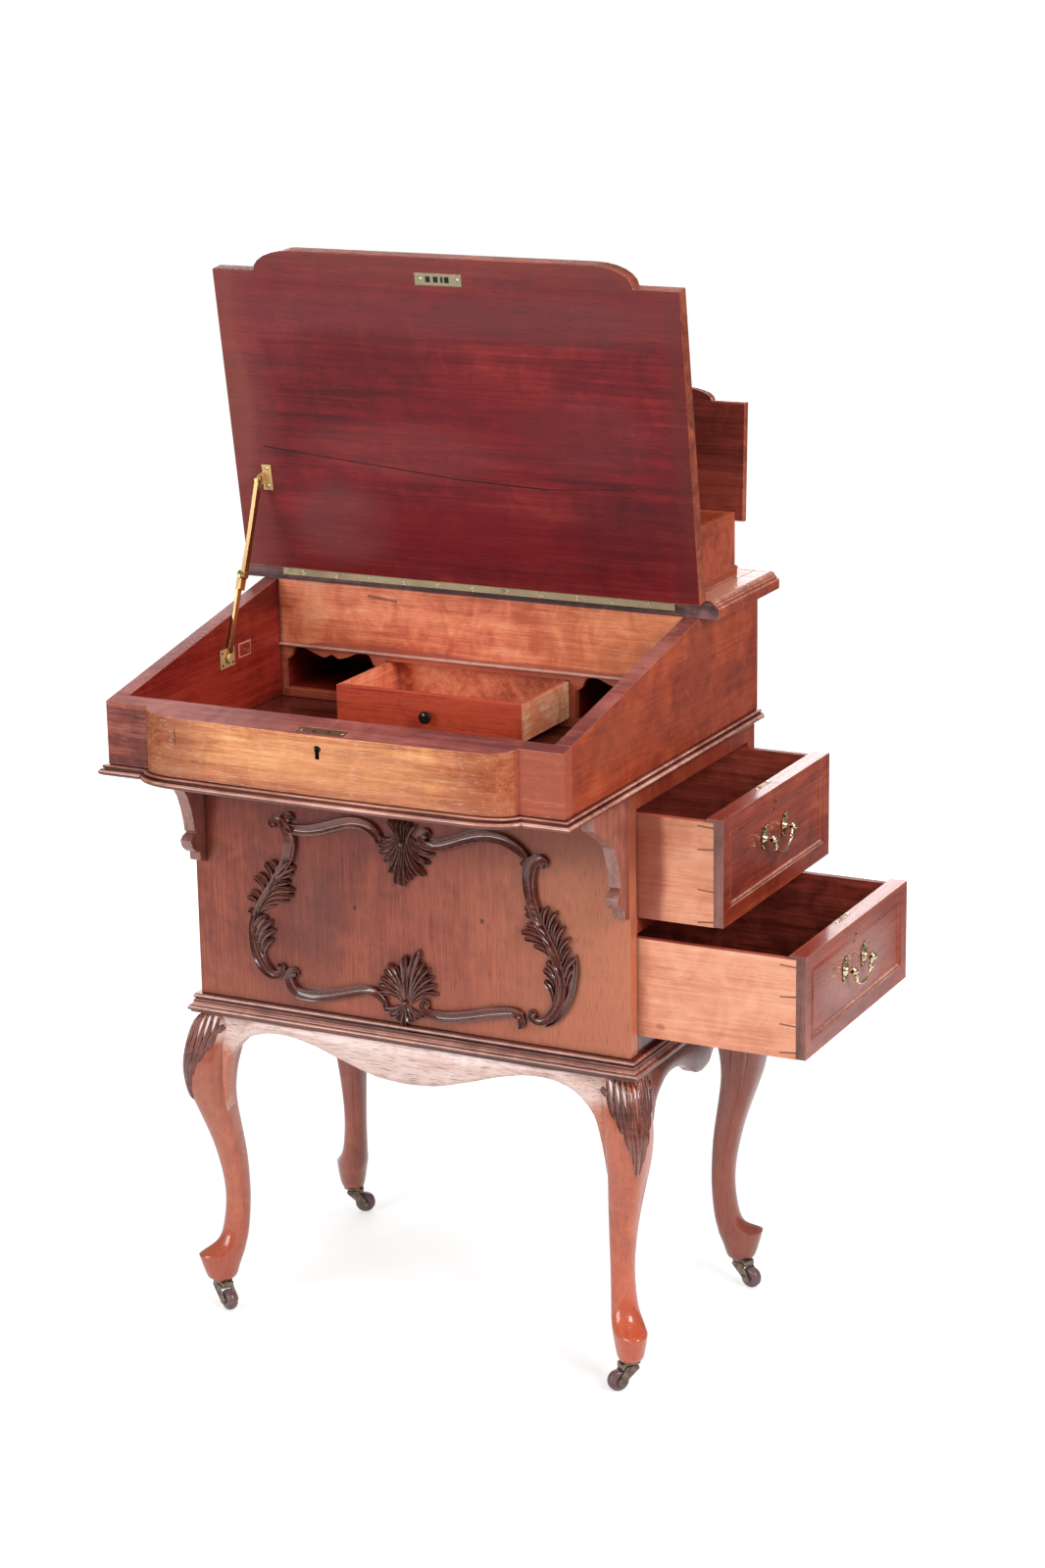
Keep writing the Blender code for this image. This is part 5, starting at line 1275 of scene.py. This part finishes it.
bailLine = [
    (-27.5, 0.6, 1.5), (-25.0, -1.6, 1.9), (-22.8, -5.4, 2.7), (-21.6, -9.4, 2.9), (-20.0, -12.4, 2.0),
    (-15.5, -16.6, 1.5), (-9.0, -19.6, 1.4), (0.0, -21.0, 1.7),
]


def swanHandle(name):
    low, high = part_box(name + "_post_a")
    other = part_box(name + "_post_b")[0]
    level = (low.z + high.z) / 2
    for letter, corner in (("a", low), ("b", other)):
        post = f"{name}_post_{letter}"
        centre = Vector((low.x - handleLook["plateSunk"], corner.y + (high.y - low.y) / 2, level))
        bm = cadCopy(post)
        relief(bm, handlePlate, backward, skyward, centre, handleLook["wider"])
        made = f"{name}_plate_{letter}"
        settle(made, bm, "handleBrass", bodyOf[name + "_front"], (post,), sharp=45, merge=1e-7)
    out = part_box(name + "_bail")[1].x - handleLook["bailBack"]
    middle = Vector((out, (low.y + other.y + high.y - low.y) / 2, level))
    half = smoothLine(bailLine, 4)
    line = half + [[-y, z, r] for y, z, r in reversed(half[:-1])]
    places = [middle + Vector((0, y, z)) / 1000 for y, z, r in line]
    sizes = [r / 1000 for y, z, r in line]
    bm = bmesh.new()
    sweep(bm, roundProfile, seatsAlong(places, [rightward] * len(line), sizes, sizes))
    for side in (-1, 1):
        curls = {
            "bands": [],
            "fingers": [
                (side * 21, -8, side * 25.6, -13.0, side * 0.8, 2.6, 2.6),
                (side * 21, -7, side * 17.0, -10.6, -side * 0.6, 2.2, 2.2),
                (side * 22, -6, side * 26.6, -6.6, side * 0.6, 2.0, 2.2),
            ],
            "eyes": [(side * 25.4, -12.6, 1.1)], "eyeRise": 1.0,
        }
        relief(bm, curls, backward, skyward, middle)
    settle(
        name + "_bail_brass", bm, "handleBrass", bodyOf[name + "_bail"], (name + "_bail",),
        sharp=60, merge=1e-7,
    )


for name in ("upper_drawer", "lower_drawer"):
    swanHandle(name)
softened("inner_drawer_knob", "ebony", 0.0)


# legs, with a crisp rim round the pad, and aprons that run into their knees

legLook = {
    "rimHeight": 0.0675,
    "scoops": [(0.0759, 0.0056), (0.0836, 0.0042)],  # rings above the rim, drawn in
    "ringReach": 0.0012,
    "scoopFades": 0.022,
    "crisp": (0.03, 1.0, 0.3),  # how far round from the toe, crease there, crease behind
    "corners": {"front_left": (-1, -1), "front_right": (1, -1), "back_left": (-1, 1), "back_right": (1, 1)},
}


def legPiece(corner):
    name = "leg_" + corner
    bm = cadCopy(name, 0)
    bmesh.ops.join_triangles(bm, faces=bm.faces, angle_face_threshold=3.1, angle_shape_threshold=3.1)
    out = Vector((*legLook["corners"][corner], 0)).normalized()
    folds = bm.edges.layers.float.new("crease_edge")
    for height, draw in legLook["scoops"]:
        ring = [vert for vert in bm.verts if abs(vert.co.z - height) < legLook["ringReach"]]
        reach = max(vert.co.dot(out) for vert in ring)
        for vert in ring:
            share = max(0, 1 - (reach - vert.co.dot(out)) / legLook["scoopFades"])
            vert.co -= out * draw * share
    rim = [vert for vert in bm.verts if abs(vert.co.z - legLook["rimHeight"]) < legLook["ringReach"]]
    reach = max(vert.co.dot(out) for vert in rim)
    toe, crisp, soft = legLook["crisp"]
    for edge in bm.edges:
        if all(vert in rim for vert in edge.verts):
            away = reach - (edge.verts[0].co + edge.verts[1].co).dot(out) / 2
            edge[folds] = crisp if away < toe else soft
    finish = "leg" if corner.startswith("front") else "backLeg"
    settle(name + "_wood", bm, finish, replaced=(name,), level=2)


for corner in legLook["corners"]:
    legPiece(corner)
bpy.context.view_layer.update()
shapes = bpy.context.evaluated_depsgraph_get()

apronShares = {
    "front": [
        (0.0, 44.1), (0.13, 42.2), (0.216, 38.4), (0.302, 32.9), (0.39, 26.8), (0.466, 21.3), (0.548, 16.4),
        (0.626, 13.0), (0.708, 11.8), (0.786, 13.2), (0.855, 17.6), (0.9, 23.2), (0.94, 31.2), (0.98, 42),
        (1.003, 52), (1.017, 63), (1.029, 79), (1.038, 100), (1.048, 122), (1.075, 142),
    ],
    "side": [
        (0.0, 43.4), (0.14, 40.5), (0.26, 30.5), (0.42, 21.1), (0.6, 17.4), (0.74, 19.5), (0.86, 27),
        (0.93, 36), (0.98, 47), (1.02, 62), (1.05, 79), (1.07, 100), (1.09, 122), (1.15, 142),
    ],
}
apronLook = {
    "top": 0.3690,
    "drawnIn": 0.0028,        # at the ends
    "blend": (0.84, 0.14),    # shares of the half length, over which it runs into the knee
    "kneeAt": 0.013,
    "kneeLevels": (0.25, 0.357),
    "sunk": 0.0004,
}
apronProfile = [
    (-15, 0), (0, 0), (0.9, 0.12), (1.6, 0.34), (1.9, 0.6), (1.3, 0.86), (0.2, 0.96), (-1.2, 1.0),
    (-15, 1.0),
]


def apronPiece(name, middle, right, half, shares, finish, lean, legs):
    out = right.cross(skyward)
    knees = [BVHTree.FromObject(bpy.data.objects[f"leg_{corner}_wood"], shapes) for corner in legs]
    stations = smoothLine(shares, 4)
    stations = [[-x, drop] for x, drop in reversed(stations[1:])] + stations
    seats = []
    for along, drop in stations:
        place = middle + right * along * half - out * apronLook["drawnIn"] * min(1, abs(along)) ** 6
        down = (out * lean - skyward) * drop / 1000
        made = Matrix((out / 1000, right, down)).transposed().to_4x4()
        made.translation = place
        seats.append(made)
    bm = bmesh.new()
    sweep(bm, apronProfile, seats)
    fromShare, over = apronLook["blend"]
    lowest, highest = apronLook["kneeLevels"]
    for vert in bm.verts:  # the ends lie flush with the knees
        along = (vert.co - middle).dot(right)
        share = min(max((abs(along) / half - fromShare) / over, 0), 1)
        start = middle + right * math.copysign(half + apronLook["kneeAt"], along) + out * 0.2
        start.z = max(min(vert.co.z, highest), lowest)
        hit = knees[along > 0].ray_cast(start, -out)[0]
        if share and hit:
            front = middle + out * (0.001 + lean * (middle.z - vert.co.z))
            moved = (hit - front).dot(out) - apronLook["sunk"]
            vert.co += out * moved * share * share * (3 - 2 * share)
    settle(name + "_wood", bm, finish, replaced=(name,), sharp=42)


aprons = {  # place, way along, half length, outline, finish, lean, knees
    "apron_front": ((0, 0.1532), rightward, 0.2317, "front", "apron", 0.15, ("front_left", "front_right")),
    "apron_back": ((0, 0.4930), -rightward, 0.2317, "front", "backLeg", 0.05, ("back_right", "back_left")),
    "apron_left": ((-0.279, 0.323), -backward, 0.1227, "side", "backLeg", 0.12, ("back_left", "front_left")),
    "apron_right": (
        (0.279, 0.323), backward, 0.1227, "side", "backLeg", 0.12, ("front_right", "back_right"),
    ),
}
for name, (place, way, half, outline, finish, lean, legs) in aprons.items():
    apronPiece(name, Vector((*place, apronLook["top"])), way, half, apronShares[outline], finish, lean, legs)


# leaf carved on the front knees: (root across, root height, tip across, tip height, width, relief)

kneeLook = {
    "ahead": (0.284, 0.148),  # where the leaf's middle line stands, before the leg's corner
    "away": 0.05,
    "sunk": 0.0006,
    "bow": 1.6,
    "narrowest": 0.55,        # a finger's root, as a share of its width
}
kneeFingers = [
    (2.4, 367, 0.6, 262, 7.6, 3.6), (7.0, 367, 4.2, 277, 7.8, 3.5), (12.0, 367, 9.4, 294, 8.4, 3.4),
    (17.2, 367, 15.0, 312, 8.8, 3.2), (22.4, 367, 19.8, 326, 8.2, 3.0), (27.0, 367, 24.4, 348, 7.0, 2.6),
]


def kneeLeaf(corner):
    leg = bpy.data.objects["leg_" + corner + "_wood"]
    tree = BVHTree.FromObject(leg, shapes)
    out = Vector((*legLook["corners"][corner], 0)).normalized()
    aside = Vector((-out.y, out.x, 0))
    spine = Vector((kneeLook["ahead"][0] * out.x * math.sqrt(2), kneeLook["ahead"][1], 0))
    bm = bmesh.new()
    for side in (-1, 1):
        for rootAcross, rootHigh, tipAcross, tipHigh, wide, high in kneeFingers:
            places, ups, widths, heights = [], [], [], []
            for share, w, h in smoothLine(fingerShares, 3):
                bow = kneeLook["bow"] * (4 * share * (1 - share))
                across = side * (rootAcross + (tipAcross - rootAcross) * share ** 1.3 + bow) / 1000
                height = (rootHigh + (tipHigh - rootHigh) * share) / 1000
                start = spine + aside * across + out * kneeLook["away"] + Vector((0, 0, height))
                hit, normal = tree.ray_cast(start, -out)[:2]
                if hit is None:
                    continue
                places.append(hit - normal * kneeLook["sunk"])
                ups.append(normal)
                w = max(w, kneeLook["narrowest"]) if share < 0.5 else w
                widths.append(side * w * wide / 2000)
                heights.append(h * high / 1000)
            if len(places) > 3:
                sweep(bm, fingerProfile, seatsAlong(places, ups, widths, heights))
    settle("knee_leaf_" + corner, bm, "carving", "cabinet", sharp=48, merge=1e-7)


for corner in ("front_left", "front_right"):
    kneeLeaf(corner)
print("legs and aprons shaped")


# casters: wide cheeks and a full, rounded wheel

casterLook = {
    "cheekTop": 0.0285,
    "wider": 0.14,                    # the cheeks, below their top
    "pin": (0.0034, 0.0034, 0.0204),  # the axle pin's radii and length
    "horn": (0.0175, 0.0146, 0.0066),
    "hornAt": (0.72, 0.0043),         # share of the way to the stem, rise over the wheel
}
wheelProfile = [
    (0.0, -6.6), (3.8, -6.6), (5.0, -6.2), (8.2, -6.4), (10.6, -5.4), (12.0, -3.2), (12.5, 0.0), (12.0, 3.2),
    (10.6, 5.4), (8.2, 6.4), (5.0, 6.2), (3.8, 6.6), (0.0, 6.6),
]
casterTurns = {"front_left": -30, "front_right": 228, "back_left": 25, "back_right": -15}


def caster(corner):
    name = "wheel_" + corner
    low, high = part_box(name)
    centre = (low + high) / 2
    turn = math.radians(casterTurns[corner])
    axle = Vector((-math.sin(turn), math.cos(turn), 0))
    bm = bmesh.new()
    upright = axle.cross(skyward)
    verts = [bm.verts.new(centre + (upright * r + axle * a) / 1000) for r, a in wheelProfile]
    edges = [bm.edges.new(pair) for pair in zip(verts, verts[1:])]
    bmesh.ops.spin(bm, geom=verts + edges, cent=centre, axis=axle, angle=math.tau, steps=36, use_merge=True)
    settle(name + "_turned", bm, "casterWheel", bodyOf[name], (name,), sharp=50, merge=1e-6)

    fork = "caster_" + corner
    bm = cadCopy(fork)
    for vert in bm.verts:
        if vert.co.z < casterLook["cheekTop"]:
            vert.co += axle * casterLook["wider"] * (vert.co - centre).dot(axle)
    disc(bm, centre - axle * casterLook["pin"][2] / 2, axle, *casterLook["pin"])
    top = [vert.co for vert in bm.verts if vert.co.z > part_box(fork)[1].z - 0.001]
    stem = sum(top, Vector()) / len(top)
    share, rise = casterLook["hornAt"]
    horn = Matrix((upright, axle, skyward)).transposed().to_4x4()
    place = centre.lerp(stem, share)
    place.z = high.z + rise
    horn.translation = place
    bar(bm, horn, casterLook["horn"])
    settle(fork + "_cast", bm, "casterBrass", bodyOf[fork], (fork,), 0.0005)


for corner in casterTurns:
    caster(corner)
print("casters turned")


# carving on the front panel: places are (across, up) in millimetres, widths and heights too

leftCarving = {
    "bands": [
        (1, 6.6, [
            (-163, 604, 2.4), (-167.5, 603, 3.6), (-169, 607, 5), (-164, 611, 6.4), (-156, 609.6, 8.6),
            (-149.6, 601, 11.5), (-146, 588.5, 13), (-147.2, 574, 12.5), (-153, 560, 10.5), (-163, 545, 8),
            (-175, 528, 6.5), (-186.6, 511, 5.6), (-194.5, 494, 5.6),
        ]),
        (-1, 7.2, [
            (-194.5, 500, 4), (-197.6, 480, 7), (-195, 460, 10), (-190, 445, 12), (-181.6, 433, 11.5),
            (-171.6, 427.4, 9), (-162, 430.4, 6.6), (-159, 437, 4.6), (-163, 440.5, 3.2), (-166.5, 437.5, 2),
        ]),
    ],
    "fingers": [
        (-163, 545, -171, 562.5, -2.6, 6.4, 7), (-170, 534, -178.6, 559, -3.4, 6, 7.6),
        (-175, 527, -187.5, 545.5, -3, 6, 6.8), (-180, 520, -193.6, 540.5, -4, 5.8, 7.4),
        (-185, 513, -198.6, 522.5, -3, 5.4, 6.4), (-190, 503, -203.6, 515.5, -4, 5.4, 7.2),
        (-194, 492, -203, 500, -2, 4.6, 6), (-168, 536, -146, 565, 4, 7.6, 7),
        (-170, 533, -139.5, 558, 4.5, 7.6, 8), (-172, 530, -142.5, 549.5, 4, 6.6, 7),
        (-176, 522, -146, 539.5, 5, 6, 8.6), (-180, 515, -141.5, 530.5, 6, 7.2, 9),
        (-184, 508, -143.5, 523, 6, 6.6, 8.4), (-189, 499, -150, 516.5, 6, 6, 7),
        (-193, 490, -166, 511, 5, 5.4, 6), (-193, 468, -178.5, 495, 5.5, 8.6, 7.6),
        (-191, 452, -171.5, 491, 8, 8.4, 8.2), (-188, 446, -168.6, 480.6, 8, 7.2, 7.4),
        (-184, 438, -171, 470, 6, 5.6, 6.4),
    ],
    "eyes": [(-165.5, 606, 2.3), (-163.6, 436, 3)],
}
rightCarving = {
    "bands": [
        (-1, 7.4, [
            (169, 596, 3), (172.6, 598.6, 4.6), (172.4, 603, 6.8), (166, 605, 9.5), (158.6, 600.4, 12),
            (154.4, 590, 13), (153.6, 575, 12), (156.4, 558, 11), (163, 539.5, 10), (172.6, 521, 9),
            (182.4, 502, 8.6), (189.4, 482, 8.8), (191.2, 461, 9.4), (186.6, 442, 10), (176.4, 426.6, 9.6),
            (163.6, 419.6, 8), (153.6, 421.4, 6), (150.4, 427.4, 4.4), (155.4, 430.6, 3), (159, 428, 2),
        ]),
        (1, 6.6, [
            (206, 502, 3.4), (208, 488, 4.4), (204.6, 464, 5.6), (196.4, 443, 6.6), (183, 425, 6),
            (170, 416.6, 4),
        ]),
    ],
    "fingers": [
        (171, 529, 175, 552.5, 3, 5.4, 7.6), (176, 520, 186.4, 548.6, 4, 6, 8),
        (181, 511, 187.5, 538, 3, 5, 6.4), (185, 503, 195, 533, 4, 6, 7.6),
        (188, 494, 201.6, 520.6, 4, 6, 8), (190, 482, 201, 509, 3, 5, 6.6),
        (193, 468, 208.6, 500, 4.4, 6.6, 8), (196, 462, 205, 486, 3, 5.4, 6.6),
        (160, 545, 148.6, 556.5, -2, 5, 6), (164, 536, 146.6, 548, -3, 5.6, 6),
        (168, 528, 147, 540, -4, 5.6, 6.6), (175, 514, 148.4, 529, -5, 6, 8.6),
        (179, 505, 142.6, 520, -6, 7.6, 9.4), (181, 499, 146, 512.4, -6, 6.2, 8),
        (184, 488, 157, 506, -5, 5.6, 7),
        (186, 458, 172, 490, -7, 7.6, 7.4), (184, 447, 168.6, 481, -8, 7.6, 7.8),
        (178, 437, 169.6, 468, -6, 5.6, 6.2),
    ],
    "eyes": [(168.6, 599, 2.6), (156.4, 426.6, 3.2)],
}
topCarving = {
    "bands": [
        (-1, 7.2, [
            (-144.4, 611.6, 2.4), (-141.6, 615, 3.8), (-145.6, 618.6, 5), (-151.4, 616, 6.4),
            (-152, 608.6, 7.6), (-144, 603.4, 9), (-126, 603.4, 10.6), (-106, 607.6, 11.4),
            (-88, 613.6, 11.6), (-70, 619, 11.2), (-53, 619.8, 10.8), (-40.4, 615.6, 10), (-33, 608, 8),
            (-31, 601.4, 5.6), (-27, 600, 3),
        ]),
        (1, 7.6, [
            (28.6, 613.4, 2.6), (31.6, 616.8, 4.2), (28, 620.4, 5.6), (22.4, 617.6, 6.6), (21.6, 610.6, 7.4),
            (27.6, 604.6, 8.6), (39, 604, 10.6), (55, 608.6, 11.6), (71, 615, 11.8), (88.6, 620.6, 11.8),
            (106, 623, 11.6), (124, 621, 11), (139.6, 613.8, 10), (148.6, 605.6, 8), (147.4, 599, 5.4),
            (142.6, 598.4, 3),
        ]),
    ],
    "fingers": [
        (-8, 612, -31.4, 606, 5, 6, 6.6), (-8, 610, -33, 598.6, 6, 6.4, 7),
        (-7.6, 608, -31.6, 589.6, 6, 6.4, 7), (-7, 606, -26.6, 579, 5, 6.4, 7),
        (-6, 604, -19.6, 566, 3.4, 6.4, 7.4), (-4.6, 603, -11.4, 554, 2, 7.4, 8),
        (-3, 603, -2.6, 552.6, 0.5, 7.8, 8.4), (-1, 603, 6.6, 560, -2, 7, 7.6),
        (1, 604, 16, 567, -3.4, 7, 8), (2.6, 606, 25.4, 568.6, -5, 7.4, 8.6),
        (4, 608, 32, 583, -6, 6.6, 7.4), (5, 610, 37.4, 594.6, -6, 6.6, 7.4), (5, 612, 36, 602, -4, 5, 6),
        (-5, 600, -19.6, 627, -2.4, 4.6, 7), (-3.6, 600, -12.6, 628.4, -1, 4.4, 7.6),
        (-2.4, 600, -6, 629.4, 0.3, 4.4, 8), (-1, 600, 1, 629.4, 0.3, 4.4, 8),
        (0.4, 600, 8.4, 628.4, 1.4, 4.4, 7.4), (2, 600, 16, 625.6, 3, 4.4, 7),
    ],
    "eyes": [(-145.8, 612.4, 2.9), (27.4, 613.6, 3.2), (-3, 601.6, 3.4)],
}
bottomCarving = {
    "bands": [
        (1, 7.4, [
            (-143.6, 428.4, 2.8), (-141, 432.6, 4.4), (-144.6, 436, 6), (-150.6, 432.6, 8),
            (-151.6, 423.4, 10), (-145.6, 412.6, 11), (-131, 408.6, 11.4), (-111, 409.8, 11),
            (-90.6, 414.4, 10.6), (-70, 420.6, 10.4), (-52, 425, 10), (-40, 423.6, 9), (-31.4, 416.6, 7),
            (-28.6, 410.6, 5), (-32, 407.6, 3),
        ]),
        (-1, 7.4, [
            (26, 417.6, 2.8), (24, 421.6, 4.4), (19.6, 420.6, 5.6), (19.4, 414, 7), (28, 409.4, 9),
            (45, 408.6, 10.6), (65, 411.8, 10.8), (85, 416.6, 10.6), (105, 422, 10.6), (124, 425.6, 10.2),
            (136, 425.6, 9), (141.6, 420, 7.6), (141, 411.6, 5.6), (136.8, 408.6, 3.4),
        ]),
    ],
    "fingers": [
        (-6, 416, -36, 424, -6, 6, 6.6), (-6, 417, -38, 433, -6.4, 6.4, 7),
        (-5.6, 418, -34.6, 443, -5.6, 6.8, 7.4), (-5, 420, -29.6, 452.6, -4.6, 6.6, 7.6),
        (-4.4, 421, -24, 461, -3.4, 7, 8.2), (-3.6, 422, -14, 459, -2, 6.6, 7.6),
        (-2.6, 422, -2.6, 473.6, -1, 8, 8.6), (-1, 422, 8.6, 468, 1, 6.4, 7.6),
        (0.4, 422, 16.4, 481.6, 2.6, 8.6, 9), (1.6, 421, 22, 467, 3.6, 6.4, 8),
        (2.6, 420, 28.4, 462, 4.6, 6.6, 8.6), (3.4, 419, 33.4, 453, 5.4, 6.4, 8),
        (4, 418, 37, 442.6, 6, 6.4, 7.6), (4.6, 417, 38.6, 432, 6, 6, 7),
        (-5.6, 415, -31.4, 407.4, 3, 6, 6.6), (-5, 413, -24, 400.6, 3, 6, 6.8),
        (-4.6, 412, -14.6, 395.8, 1.6, 6, 7), (-3.6, 412, -5, 390.6, 0.4, 6.4, 7.4),
        (-2.4, 412, 4.4, 395.4, -1, 6, 7), (-1, 413, 13, 401, -2.4, 6, 6.8),
        (0.6, 414, 22, 405.6, -3, 5.4, 6.4),
    ],
    "eyes": [(-145, 430.6, 3.2), (24.4, 417.4, 3), (-4, 417, 3)],
}
carvings = {
    "carving_left": leftCarving,
    "carving_right": rightCarving,
    "carving_top": topCarving,
    "carving_bottom": bottomCarving,
}
carvingWider = (1.22, 1.32)  # its bands and fingers
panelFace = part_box("pedestal_front")[0].y + 0.0001
for name, spec in carvings.items():
    bm = bmesh.new()
    relief(bm, spec, rightward, skyward, backward * panelFace, carvingWider)
    settle(name + "_relief", bm, "carving", "cabinet", (name,), sharp=48, merge=1e-7)
print("carving cut:", len(carvings))
